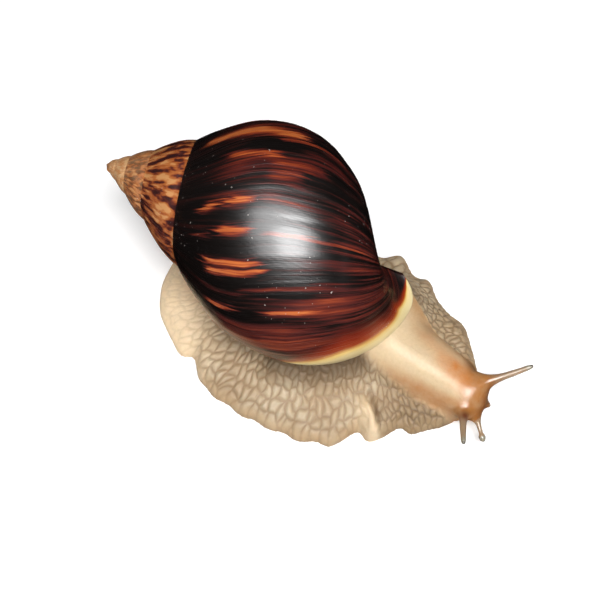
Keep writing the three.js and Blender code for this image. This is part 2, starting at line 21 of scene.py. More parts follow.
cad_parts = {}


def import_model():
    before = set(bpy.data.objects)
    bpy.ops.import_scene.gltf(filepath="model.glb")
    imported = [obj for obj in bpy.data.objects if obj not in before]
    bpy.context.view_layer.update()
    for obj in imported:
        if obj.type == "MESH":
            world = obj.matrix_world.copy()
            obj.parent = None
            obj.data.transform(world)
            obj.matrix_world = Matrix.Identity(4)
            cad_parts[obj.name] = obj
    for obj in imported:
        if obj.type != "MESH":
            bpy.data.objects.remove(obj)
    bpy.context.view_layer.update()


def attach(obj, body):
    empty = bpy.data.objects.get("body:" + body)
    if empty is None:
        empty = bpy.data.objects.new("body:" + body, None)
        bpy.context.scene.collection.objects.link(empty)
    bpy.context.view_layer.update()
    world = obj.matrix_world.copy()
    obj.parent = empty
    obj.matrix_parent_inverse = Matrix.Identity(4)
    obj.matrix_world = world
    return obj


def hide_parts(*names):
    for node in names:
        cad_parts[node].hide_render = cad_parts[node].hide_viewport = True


log = logging.getLogger("snail")

MM = 0.001
TURN = 2.0 * math.pi
BODY = "root"
ORIGIN = np.array([1.8336334, 3.9633656, 0.0])  # the frame's origin in the construction frame
Array = np.ndarray
Colour = tuple[float, float, float]
Stops = tuple[tuple[float, Colour], ...]
Mark = tuple[float, float, float, float]  # turns behind the lip, fraction, axial share, inside


# ---------------------------------------------------------------- small helpers


def clamp01(value: Array) -> Array:
    """Hold a value between 0 and 1."""
    return np.clip(value, 0.0, 1.0)


def soft_step(value: Array) -> Array:
    """Rise smoothly from 0 to 1 as the value does."""
    held = clamp01(value)
    return held * held * (3.0 - 2.0 * held)


@dataclass(frozen=True)
class Zone:
    """Where a share rises smoothly from 0 to 1, over a run that may point backwards."""

    start: float
    run: float

    def __call__(self, value: Array) -> Array:
        """The share at a value."""
        return soft_step((value - self.start) / self.run)


def soft_max(a: Array, b: Array, softness: Array) -> Array:
    """The greater of two values, with a rounded change-over."""
    return 0.5 * (a + b + np.hypot(a - b, softness))


def mix(a: Array, b: Array, share: Array) -> Array:
    """Go from one value to another by a share."""
    return a + (b - a) * share


def bump(value: Array, centre: float, reach: Array) -> Array:
    """A round hump of height 1 about a centre."""
    return np.exp(-(((value - centre) / reach) ** 2))


def turning(yaw: float) -> Array:
    """Matrix that turns a column by degrees about the vertical."""
    cosine, sine = math.cos(math.radians(yaw)), math.sin(math.radians(yaw))
    return np.array([[cosine, -sine, 0.0], [sine, cosine, 0.0], [0.0, 0.0, 1.0]])


def srgb(red: int, green: int, blue: int) -> Colour:
    """Turn a display colour of 0 to 255 into linear light.

    Args:
        red: Red, 0 to 255.
        green: Green, 0 to 255.
        blue: Blue, 0 to 255.

    Returns:
        The colour as three linear shares.
    """
    def linear(level: int) -> float:
        share = level / 255.0
        return share / 12.92 if share <= 0.04045 else ((share + 0.055) / 1.055) ** 2.4

    return linear(red), linear(green), linear(blue)


def to_frame(points: Array) -> Array:
    """Take construction points in millimetres to the frame of the solids in metres."""
    return (points - ORIGIN) * MM


# ---------------------------------------------------------------- node trees


def operator(operation: str, swapped: bool = False) -> Callable[["Socket", "Value"], "Socket"]:
    """Make a Python operator of sockets.

    Args:
        operation: The Math node's operation.
        swapped: Whether the other value comes first.

    Returns:
        The operator's method.
    """
    def work(this: "Socket", other: "Value") -> "Socket":
        return this.tree.math(operation, *((other, this) if swapped else (this, other)))

    return work


class Socket:
    """A node's output that Python's operators work on, adding Math nodes."""

    def __init__(self, tree: "Tree", output: bpy.types.NodeSocket) -> None:
        """Keep the output and the tree that it belongs to."""
        self.tree = tree
        self.output = output

    __add__ = __radd__ = operator("ADD")
    __sub__ = operator("SUBTRACT")
    __rsub__ = operator("SUBTRACT", swapped=True)
    __mul__ = __rmul__ = operator("MULTIPLY")
    __truediv__ = operator("DIVIDE")

    def over(self, low: float, high: float) -> "Socket":
        """Rise smoothly from 0 at one level to 1 at another.

        Args:
            low: Level where the result is 0.
            high: Level where the result is 1; it may lie below the first.

        Returns:
            The smooth share.
        """
        return self.tree.node(
            "ShaderNodeMapRange",
            {"interpolation_type": "SMOOTHSTEP", "clamp": True},
            {"Value": self, "From Min": low, "From Max": high, "To Min": 0.0, "To Max": 1.0},
        )


Value = Union[Socket, float]


class Tree:
    """A node tree in which one method makes any node."""

    def __init__(self, tree: bpy.types.NodeTree) -> None:
        """Wrap a node tree."""
        self.tree = tree

    def node(
        self,
        kind: str,
        settings: Optional[dict[str, Any]] = None,
        inputs: Optional[dict[Any, Any]] = None,
        output: Union[str, int] = 0,
    ) -> Socket:
        """Add a node.

        Args:
            kind: The node's type name.
            settings: Its properties, and a colour ramp's stops under "stops".
            inputs: Values or sockets for its inputs, by name or number.
            output: Name or number of the output to return.

        Returns:
            The chosen output.
        """
        made = self.tree.nodes.new(kind)
        for name, value in (settings or {}).items():
            if name == "stops":
                self._set_stops(made, value)
            else:
                setattr(made, name, value)
        for name, value in (inputs or {}).items():
            socket = made.inputs[name]
            if isinstance(value, Socket):
                self.tree.links.new(value.output, socket)
            else:
                socket.default_value = value
        return Socket(self, made.outputs[output])

    @staticmethod
    def _set_stops(made: bpy.types.Node, stops: Stops) -> None:
        """Give a colour ramp its stops."""
        elements = made.color_ramp.elements
        while len(elements) < len(stops):
            elements.new(1.0)
        for element, (place, colour) in zip(elements, stops):
            element.position = place
            element.color = (*colour, 1.0)

    def math(self, operation: str, first: Value, second: Value = 0.0) -> Socket:
        """Add a Math node on two values."""
        return self.node("ShaderNodeMath", {"operation": operation}, {0: first, 1: second})

    def highest(self, first: Value, second: Value) -> Socket:
        """The greater of two values."""
        return self.math("MAXIMUM", first, second)

    def blend(self, share: Value, under: Any, over: Any, mode: str = "MIX") -> Socket:
        """Lay one colour over another by a share.

        Args:
            share: How much of the upper colour shows.
            under: The lower colour or socket.
            over: The upper colour or socket.
            mode: Blending mode.

        Returns:
            The blended colour.
        """
        def filled(colour: Any) -> Any:
            return colour if isinstance(colour, Socket) else (*colour, 1.0)

        return self.node(
            "ShaderNodeMix",
            {"data_type": "RGBA", "blend_type": mode, "clamp_factor": True},
            {0: share, 6: filled(under), 7: filled(over)},
            2,
        )

    def ramp(self, value: Value, stops: Stops) -> Socket:
        """Turn a value into a colour by stops."""
        return self.node("ShaderNodeValToRGB", {"stops": stops}, {"Fac": value})

    def noise(self, vector: Socket, stretch: tuple[float, float, float],
              shift: tuple[float, float, float] = (0.0, 0.0, 0.0), detail: float = 2.0) -> Socket:
        """Add a noise of values about one half.

        Args:
            vector: Where each point lies.
            stretch: How many waves there are to a unit, each way.
            shift: How far the pattern is moved.
            detail: How many finer layers it has.

        Returns:
            The noise.
        """
        place = self.node(
            "ShaderNodeVectorMath", {"operation": "MULTIPLY_ADD"}, {0: vector, 1: stretch, 2: shift},
        )
        return self.node(
            "ShaderNodeTexNoise", {}, {"Vector": place, "Scale": 1.0, "Detail": detail})

    def borders(self, vector: Socket) -> Socket:
        """Distance to the nearest border between the cells of a flat pattern."""
        return self.node(
            "ShaderNodeTexVoronoi",
            {"voronoi_dimensions": "2D", "feature": "DISTANCE_TO_EDGE"},
            {"Vector": vector, "Scale": 1.0, "Randomness": 0.85},
            "Distance",
        )


class Finish:
    """A material on its own node tree, with one principled surface."""

    def __init__(self, name: str) -> None:
        """Make an empty material of that name."""
        self.material = bpy.data.materials.new(name)
        self.material.use_nodes = True
        nodes = self.material.node_tree.nodes
        self.surface = next(node for node in nodes if node.type == "BSDF_PRINCIPLED")
        self.tree = Tree(self.material.node_tree)

    def attribute(self, name: str, output: str = "Fac") -> Socket:
        """Read an attribute of the mesh."""
        return self.tree.node("ShaderNodeAttribute", {"attribute_name": name}, output=output)

    def place(self) -> Socket:
        """Read the place on the object, in metres."""
        return self.tree.node("ShaderNodeTexCoord", output="Object")

    def relief(self, layers: list[tuple[Socket, float]]) -> Socket:
        """Stack bumps.

        Args:
            layers: Heights from 0 to 1, each with its depth in millimetres.

        Returns:
            The bumped normal.
        """
        normal: Optional[Socket] = None
        for height, depth in layers:
            inputs: dict[Any, Any] = {"Height": height, "Distance": depth * MM, "Strength": 1.0}
            if normal is not None:
                inputs["Normal"] = normal
            normal = self.tree.node("ShaderNodeBump", {}, inputs)
        return normal

    def set(self, **sockets: Any) -> bpy.types.Material:
        """Fill the surface's inputs, by name with underscores for spaces.

        Args:
            **sockets: Values or sockets.

        Returns:
            The finished material.
        """
        for name, value in sockets.items():
            socket = self.surface.inputs[name.replace("_", " ")]
            if isinstance(value, Socket):
                self.material.node_tree.links.new(value.output, socket)
            else:
                socket.default_value = value
        return self.material


# ---------------------------------------------------------------- shared making


class PieceMaker:
    """Makes shown pieces from points and faces."""

    @staticmethod
    def mesh(name: str, points: Array, faces: list[tuple[int, ...]]) -> bpy.types.Object:
        """Make a smooth-shaded mesh object in the scene.

        Args:
            name: Name of the piece.
            points: Corner points in the construction frame, in millimetres.
            faces: Corner numbers of each face.

        Returns:
            The new object.
        """
        mesh = bpy.data.meshes.new(name)
        mesh.from_pydata([tuple(point) for point in to_frame(np.asarray(points))], [], faces)
        mesh.validate()
        mesh.shade_smooth()
        piece = bpy.data.objects.new(name, mesh)
        bpy.context.scene.collection.objects.link(piece)
        return piece

    @staticmethod
    def closed(name: str, rings: list[Array], first: Array, last: Array) -> bpy.types.Object:
        """Make a closed piece from rings of points between two end points.

        Args:
            name: Name of the piece.
            rings: Points of each ring, in order from one end to the other.
            first: The end point before the first ring.
            last: The end point after the last ring.

        Returns:
            The new object.
        """
        sides = len(rings[0])
        end = (len(rings) - 1) * sides
        nexts = [(j, (j + 1) % sides) for j in range(sides)]
        faces: list[tuple[int, ...]] = [
            (i + j, i + sides + j, i + sides + k, i + k)
            for i in range(0, end, sides) for j, k in nexts
        ]
        for j, k in nexts:
            faces.append((end + sides, j, k))
            faces.append((end + sides + 1, end + k, end + j))
        return PieceMaker.mesh(name, np.concatenate([*rings, [first], [last]]), faces)

    @staticmethod
    def places(piece: bpy.types.Object) -> Array:
        """Read a piece's points back into the construction frame, in millimetres."""
        flat = np.empty(len(piece.data.vertices) * 3, dtype=np.float32)
        piece.data.vertices.foreach_get("co", flat)
        return flat.reshape(-1, 3).astype(float) / MM + ORIGIN

    @staticmethod
    def move(piece: bpy.types.Object, points: Array) -> None:
        """Put a piece's points at new places in the construction frame."""
        piece.data.vertices.foreach_set("co", to_frame(points).astype(np.float32).ravel())
        piece.data.update()

    @staticmethod
    def spread(piece: bpy.types.Object, name: str, values: Array, domain: str = "POINT") -> None:
        """Store a number or a vector on each point or corner of a piece."""
        kind = "FLOAT" if values.ndim == 1 else "FLOAT_VECTOR"
        layer = piece.data.attributes.new(name, kind, domain)
        key = "value" if values.ndim == 1 else "vector"
        layer.data.foreach_set(key, values.astype(np.float32).ravel())

    @staticmethod
    def bake(piece: bpy.types.Object) -> None:
        """Turn a piece's live modifiers into its plain mesh."""
        evaluated = piece.evaluated_get(bpy.context.evaluated_depsgraph_get())
        mesh = bpy.data.meshes.new_from_object(evaluated)
        piece.modifiers.clear()
        piece.data = mesh
        mesh.name = piece.name

    @staticmethod
    def hand_over(piece: bpy.types.Object, material: bpy.types.Material, slot: str,
                  *nodes: str) -> None:
        """Dress a finished piece and put it in the frame for the nodes it stands for."""
        piece.data.materials.clear()
        piece.data.materials.append(material)
        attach(piece, BODY)
        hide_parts(*nodes)
        triangles = sum(len(face.vertices) - 2 for face in piece.data.polygons)
        log.info("%s: %d triangles, stands for %s", piece.name, triangles, ", ".join(nodes))


# ---------------------------------------------------------------- the shell


@dataclass(frozen=True)
class ShellForm:
    """The coiled form of the shell, as the solids have it."""

    length: float = 120.0
    apex: tuple[float, float, float] = (-81.2, 15.2, 41.9)
    axis_yaw: float = -1.2
    axis_pitch: float = -5.4
    expansion: float = 1.81
    turns: int = 5
    periphery: float = 82.0
    radius: float = 46.6
    upper_run: float = 47.3
    spire_cone: float = 0.75
    lower_power: float = 2.04
    lower_round: float = 1.71
    base_radius: float = 13.3
    base_dent: float = 6.8
    lip_angle: float = 108.3
    base_swell: float = 2.6
    swell_start: float = 0.52
    lip_tuck: float = 3.0
    tuck_angle: float = 28.0
    tuck_start: float = 0.3  # fractions at either end over which it fades
    tuck_end: float = 1.0 / 6.0
    cap_start: float = 0.84
    lean: float = 37.0  # degrees by which growth lines lean back at the suture
    lean_fall: float = 0.42  # axial share over which that fades
    lean_rest: float = 12.0  # degrees by which they lean forward on the base
    lean_lost: float = 0.6  # share of the leaning that the older whorls lack
    old_start: float = 0.5  # turns behind the lip where they begin
    old_run: float = 0.35
    lip_lean: float = 7.0  # more degrees forward low on the newest growth
    lip_lean_start: float = 0.6
    lip_lean_end: float = 85.0
    lip_lean_run: float = 15.0
    lip_ease: float = 14.0  # degrees behind the lip over which the lines straighten
    blunt: float = 1.4  # how far the apex is rounded off

    @property
    def lip(self) -> float:
        """Growth angle of the lip, in radians."""
        return math.radians(self.lip_angle)

    @property
    def axis(self) -> Array:
        """Direction of the axis, from the apex to the base."""
        yaw, pitch = math.radians(self.axis_yaw), math.radians(self.axis_pitch)
        return np.array([
            math.cos(yaw) * math.cos(pitch), -math.sin(yaw) * math.cos(pitch), math.sin(pitch),
        ])

    @property
    def up(self) -> Array:
        """Direction from the axis to the top of the shell."""
        up = np.array([0.0, 0.0, 1.0]) - self.axis * self.axis[2]
        return up / np.linalg.norm(up)

    @property
    def right(self) -> Array:
        """Direction from the axis to the animal's right."""
        return np.cross(self.axis, self.up)

    def growth(self, theta: Array) -> Array:
        """Size at a growth angle, against the size at the lip."""
        return np.exp(math.log(self.expansion) / TURN * (theta - self.lip))

    def ellipse_radius(self, z: Array) -> Array:
        """Radius of the upper half of a whorl as a plain ellipse."""
        return self.radius * np.sqrt(1.0 - clamp01((self.periphery - z) / self.upper_run) ** 2)

    def touching_cone(self) -> tuple[float, float]:
        """Find where a straight cone from the apex touches the ellipse.

        Returns:
            The axial place and the cone's slope.
        """
        z = np.arange(self.periphery - self.upper_run, self.periphery, 0.1)
        slopes = self.ellipse_radius(z) / z
        best = int(np.argmax(slopes))
        return float(z[best]), float(slopes[best])

    def profile_radius(self, z: Array) -> Array:
        """Radius of the last whorl at the lip, at an axial distance from the apex."""
        z = np.asarray(z, dtype=float)
        cone_z, cone_slope = self.touching_cone()
        round_side = self.ellipse_radius(z)
        spire = mix(round_side, cone_slope * z, self.spire_cone)
        down = clamp01((z - self.periphery) / (self.length - self.periphery))
        rounded = (1.0 - down ** self.lower_power) ** (1.0 / self.lower_round)
        base = self.base_radius + (self.radius - self.base_radius) * rounded
        return np.where(z < cone_z, spire, np.where(z < self.periphery, round_side, base))

    def suture(self) -> float:
        """Find the axial place where one whorl meets the next, by bisection."""
        low, high = self.periphery - self.upper_run, self.touching_cone()[0]
        for _ in range(50):
            middle = (low + high) / 2.0
            below = self.profile_radius(middle * self.expansion) / self.expansion
            if self.profile_radius(middle) < below:
                low = middle
            else:
                high = middle
        return (low + high) / 2.0

    def leaning(self, straight: Array, reach: Array) -> Array:
        """Turns by which a growth line leans away from a plane through the axis.

        Args:
            straight: Turns behind the lip, round the axis.
            reach: Axial share of the whorl's length.

        Returns:
            The turns to add to those behind the lip.
        """
        start = self.suture() / self.length
        share = clamp01((reach - start) / (1.0 - start))
        lean = self.lean * np.exp(-share / self.lean_fall) - self.lean_rest
        degrees = straight * 360.0
        lean = lean * (1.0 - self.lean_lost * soft_step((straight - self.old_start) / self.old_run))
        low = clamp01((reach - self.lip_lean_start) / (1.0 - self.lip_lean_start))
        new = soft_step((self.lip_lean_end - degrees) / self.lip_lean_run)
        return (lean - self.lip_lean * low * new) / 360.0 * clamp01(degrees / self.lip_ease)

    def last_profile(self, fraction: Array) -> tuple[Array, Array]:
        """Axial and radial place at a fraction of the way from suture to base pole."""
        fraction = np.asarray(fraction, dtype=float)
        along = np.sin(np.minimum(fraction / self.cap_start, 1.0) * math.pi / 2.0)
        side_z = mix(self.suture(), self.length, along)
        inward = clamp01((fraction - self.cap_start) / (1.0 - self.cap_start))
        capped = fraction > self.cap_start
        z = np.where(capped, self.length - self.base_dent * inward ** 2, side_z)
        r = np.where(capped, self.base_radius * (1.0 - inward), self.profile_radius(side_z))
        return z, r

    def next_suture_fraction(self) -> float:
        """Fraction of the place where the next whorl's suture lies."""
        along = self.suture() * (self.expansion - 1.0) / (self.length - self.suture())
        return self.cap_start * math.asin(along) / (math.pi / 2.0)

    def last_place(self, theta: Array, fraction: Array) -> tuple[Array, Array]:
        """Axial and radial place on the last whorl, with its grown lip drawn in."""
        z, r = self.last_profile(fraction)
        size = self.growth(theta)
        late = clamp01(1.0 - (self.lip - theta) / math.radians(self.tuck_angle))
        low_end = clamp01((1.0 - fraction) / self.tuck_end)
        tuck = self.lip_tuck * late ** 2 * soft_step(fraction / self.tuck_start) * low_end
        low = clamp01((fraction - self.swell_start) / (1.0 - self.swell_start))
        swell = self.base_swell * (1.0 - late) * np.sin(math.pi * low)
        return z * size, np.maximum((r + swell) * size - tuck, 0.0)

    def point(self, theta: Array, z: Array, r: Array) -> Array:
        """Place in the construction frame of growth angle, axial and radial distance."""
        theta, z, r = np.broadcast_arrays(theta, z, r)
        return (
            np.array(self.apex)
            + z[..., None] * self.axis
            + (r * np.cos(theta))[..., None] * self.up
            + (r * np.sin(theta))[..., None] * self.right
        )

    def axis_at(self, x: Array) -> Array:
        """Points of the axis at distances forward."""
        x = np.asarray(x, dtype=float)
        return np.array(self.apex) + ((x - self.apex[0]) / self.axis[0])[..., None] * self.axis


@dataclass(frozen=True)
class Flame:
    """A streak of colour that follows the growth lines closely."""

    behind: float  # degrees of growth behind the lip where it starts
    drift: float  # degrees further behind where it ends
    start: float  # axial shares of the whorl's length
    end: float
    width: float  # degrees
    glow: float  # 0 leaves the dark ground, 1 is full orange


FLAMES = (
    Flame(144.0, -12.0, 0.38, 0.71, 5.0, 1.0),
    Flame(127.0, 0.0, 0.62, 0.88, 1.6, 0.5),
    Flame(120.0, -6.0, 0.46, 0.64, 2.4, 0.66),
    Flame(108.0, 0.0, 0.62, 0.82, 2.0, 0.4),
    Flame(102.5, 0.0, 0.62, 0.73, 3.2, 0.38),
    Flame(86.0, 2.0, 0.415, 0.48, 3.2, 0.95),
    Flame(90.0, -1.0, 0.50, 0.585, 2.6, 0.95),
    Flame(89.0, 0.0, 0.60, 0.90, 3.0, 0.26),
    Flame(75.0, -1.0, 0.49, 0.60, 2.4, 0.92),
    Flame(71.0, 0.0, 0.41, 0.47, 1.6, 0.55),
    Flame(72.0, 0.5, 0.62, 0.98, 1.0, 0.42),
    Flame(59.5, -1.0, 0.45, 0.64, 1.8, 1.0),
    Flame(55.0, 0.0, 0.47, 0.66, 2.0, 0.96),
    Flame(53.0, 0.5, 0.66, 1.0, 2.4, 0.2),
    Flame(46.5, 1.5, 0.58, 0.92, 2.4, 0.16),
    Flame(35.5, 0.0, 0.47, 0.58, 1.5, 0.74),
    Flame(35.0, 1.0, 0.66, 0.83, 1.0, 0.82),
    Flame(27.5, 1.0, 0.55, 1.0, 3.6, 0.16),
    Flame(18.0, 0.0, 0.55, 1.0, 3.4, 0.22),
    Flame(160.0, 0.0, 0.42, 0.7, 3.0, 0.8),
    Flame(182.0, 0.0, 0.45, 0.8, 4.0, 0.75),
    Flame(204.0, 0.0, 0.42, 0.7, 4.0, 0.9),
    Flame(226.0, 0.0, 0.5, 0.9, 3.0, 0.7),
)
LIP_REACHES = (0.74, 0.77, 0.85, 0.90, 0.95, 0.98, 1.0)  # axial shares along the lip
LIP_WIDTHS = (6.0, 7.1, 10.3, 11.5, 9.7, 7.6, 4.5)  # how far its cream reaches there
CAP_SHARES = (0.0, 0.5, 0.8, 1.0)  # the same over the base
CAP_WIDTHS = (4.5, 3.3, 1.3, 0.5)
DEEP: Mark = (1.0, 0.5, 1.0, 1.0)  # growth marks deep in the mouth
LIP_SPAN = 2.4  # how far the edge's colours go, as a share of the cream's width
LIP_STOPS = (
    (0.0, srgb(214, 196, 150)), (0.26, srgb(224, 204, 146)), (0.36, srgb(222, 188, 108)),
    (0.42, srgb(196, 128, 52)), (0.49, srgb(150, 50, 4)), (0.62, srgb(126, 32, 2)),
    (0.75, srgb(88, 20, 4)), (0.92, srgb(62, 17, 12)),
)
SPIRE_STOPS = (
    (0.0, srgb(203, 152, 98)), (0.40, srgb(199, 141, 86)), (0.45, srgb(176, 101, 49)),
    (0.50, srgb(152, 76, 35)), (0.525, srgb(98, 40, 26)), (0.56, srgb(66, 28, 24)),
    (0.62, srgb(50, 22, 22)),
)
SCAR = Flame(71.8, 2.8, 0.70, 0.79, 0.25, 1.0)


@dataclass(frozen=True)
class ShellGlaze:
    """Colours of the shell, from the oldest whorls to the lip."""

    night: Colour = srgb(14, 9, 8)
    umber: Colour = srgb(36, 17, 14)
    maroon: Colour = srgb(66, 22, 20)
    brick: Colour = srgb(104, 36, 22)
    rust: Colour = srgb(156, 66, 30)
    orange: Colour = srgb(198, 106, 50)
    speck: Colour = srgb(186, 178, 172)
    inside: Colour = srgb(206, 198, 192)
    tip: Colour = srgb(194, 132, 78)
    worn_tip: Colour = srgb(214, 172, 122)

    def glow(self, tree: Tree, behind: Socket, reach: Socket, ragged: Socket) -> Socket:
        """How much of the orange streaks shows.

        Args:
            tree: The finish's tree.
            behind: Turns behind the lip, along the growth lines.
            reach: Axial share of the whorl's length.
            ragged: A fine noise that frays the streaks' ends.

        Returns:
            The glow, from 0 to 1.
        """
        total: Optional[Socket] = None
        for flame in FLAMES:
            one = self.streak(tree, flame, behind, reach, ragged)
            total = one if total is None else tree.highest(total, one)
        return total

    @staticmethod
    def streak(tree: Tree, flame: Flame, behind: Socket, reach: Socket, ragged: Socket) -> Socket:
        """The glow of one streak."""
        slope = flame.drift / (flame.end - flame.start)
        centre = flame.behind - slope * flame.start
        off = (behind * 360.0 - reach * slope - centre) / flame.width + (ragged - 0.5) * 2.2
        side = tree.math("EXPONENT", off * off * -1.0)
        frayed = reach + (ragged - 0.5) * 0.17
        starts = frayed.over(flame.start - 0.02, flame.start + 0.03)
        ends = frayed.over(flame.end + 0.03, flame.end - 0.04)
        return side * starts * ends * flame.glow

    def body(self, tree: Tree, growth: Socket, behind: Socket, reach: Socket) -> Socket:
        """Dark streaked colour of the last whorl, with painted shade below the suture."""
        broad = tree.noise(growth, (30.0, 2.2, 1.0), (5.2, 1.3, 0.0), detail=3.0)
        middle = tree.noise(growth, (100.0, 3.0, 1.0), (1.7, 4.1, 2.0), detail=3.0)
        fine = tree.noise(growth, (340.0, 3.4, 1.0), (7.9, 2.2, 5.0))
        ragged = tree.noise(growth, (240.0, 8.0, 1.0), (2.9, 0.2, 3.0), detail=3.0)
        streaks = broad * 0.4 + middle * 0.36 + fine * 0.24
        glow = self.glow(tree, behind, reach, ragged)
        warm = glow * 0.33 + (fine - 0.5) * glow * 0.5 + behind.over(0.13, 0.03) * 0.05
        heat = streaks * (1.0 - glow * 0.35) + glow * 0.175 + warm
        colour = tree.ramp(heat, (
            (0.0, self.night), (0.488, self.night), (0.515, self.umber), (0.552, self.maroon),
            (0.62, self.brick), (0.70, self.rust), (0.80, self.orange),
        ))
        # painted shade: the upper part of the last whorl, just below the suture, darkens towards the
        # night colour away from the streaks
        painted_suture_shade = (1.0 - glow) * reach.over(0.52, 0.4) * 0.8
        colour = tree.blend(painted_suture_shade, colour, self.night)
        scar = self.streak(tree, SCAR, behind, reach, ragged)
        return tree.blend(scar * 0.8, colour, self.rust)

    def spire(self, tree: Tree, growth: Socket, behind: Socket) -> Socket:
        """Flamed tan colour of the older whorls, plain at the tip."""
        flames = tree.noise(growth, (44.0, 6.5, 1.0), (0.4, 3.3, 1.0))
        broken = tree.noise(growth, (70.0, 16.0, 1.0), (4.4, 1.3, 7.0))
        colour = tree.ramp(flames * 0.66 + broken * 0.34, SPIRE_STOPS)
        aged = tree.noise(growth, (26.0, 9.0, 1.0), (2.0, 0.5, 3.0))
        plain = tree.ramp(aged, ((0.4, self.tip), (0.62, self.worn_tip)))
        colour = tree.blend(behind.over(1.7, 2.6) * 0.45, colour, plain)
        return tree.blend(behind.over(2.6, 3.3) * 0.8, colour, plain)

    def lip(self, tree: Tree, under: Socket, rim: Socket, reach: Socket, fray: Socket) -> Socket:
        """Lay the amber and cream edge of the newest growth over a colour."""
        off = rim + reach.over(0.77, 0.68) * 0.9 + (fray - 0.5) * 0.24
        return tree.blend(off.over(2.3, 1.5), under, tree.ramp(off / LIP_SPAN, LIP_STOPS))

    def material(self) -> bpy.types.Material:
        """Make the glossy streaked finish.

        Returns:
            The material.
        """
        finish = Finish("Streaked shell")
        tree = finish.tree
        straight = finish.attribute("growth", "Vector")
        reach = finish.attribute("reach")
        sway = tree.noise(straight, (7.0, 3.5, 1.0), (3.1, 0.0, 0.0))
        growth = tree.node(
            "ShaderNodeVectorMath", {"operation": "ADD"},
            {0: straight, 1: tree.node("ShaderNodeCombineXYZ", {}, {0: (sway - 0.5) * 0.018})},
        )
        behind = finish.attribute("behind") + (sway - 0.5) * 0.018

        edge = tree.noise(growth, (40.0, 4.0, 1.0), (9.4, 1.3, 1.0))
        old = (behind + (edge - 0.5) * 0.5).over(0.66, 0.9)
        colour = tree.blend(
            old, self.body(tree, growth, behind, reach), self.spire(tree, growth, behind),
        )
        lines = tree.noise(growth, (620.0, 3.0, 1.0), (0.0, 1.0, 9.0))
        colour = self.lip(tree, colour, finish.attribute("rim"), reach, lines)
        chips = tree.noise(finish.place(), (900.0,) * 3, (1.0, 2.0, 3.0), detail=1.0)
        sparse = tree.noise(finish.place(), (60.0,) * 3, (5.0, 1.0, 2.0))
        colour = tree.blend(chips.over(0.73, 0.77) * sparse.over(0.5, 0.6) * 0.7, colour, self.speck)
        colour = tree.blend(finish.attribute("inner"), colour, self.inside)

        folds = tree.noise(growth, (150.0, 2.6, 1.0), (4.0, 1.0, 6.0), detail=3.0)
        grain = tree.noise(finish.place(), (1800.0,) * 3)
        normal = finish.relief([(folds, 0.24), (lines, 0.13), (grain, 0.012)])
        return finish.set(
            Base_Color=colour,
            Roughness=lines * 0.16 + 0.26,
            Normal=normal,
            Coat_Weight=0.9,
            Coat_Roughness=0.27,
            Specular_IOR_Level=0.25,
        )


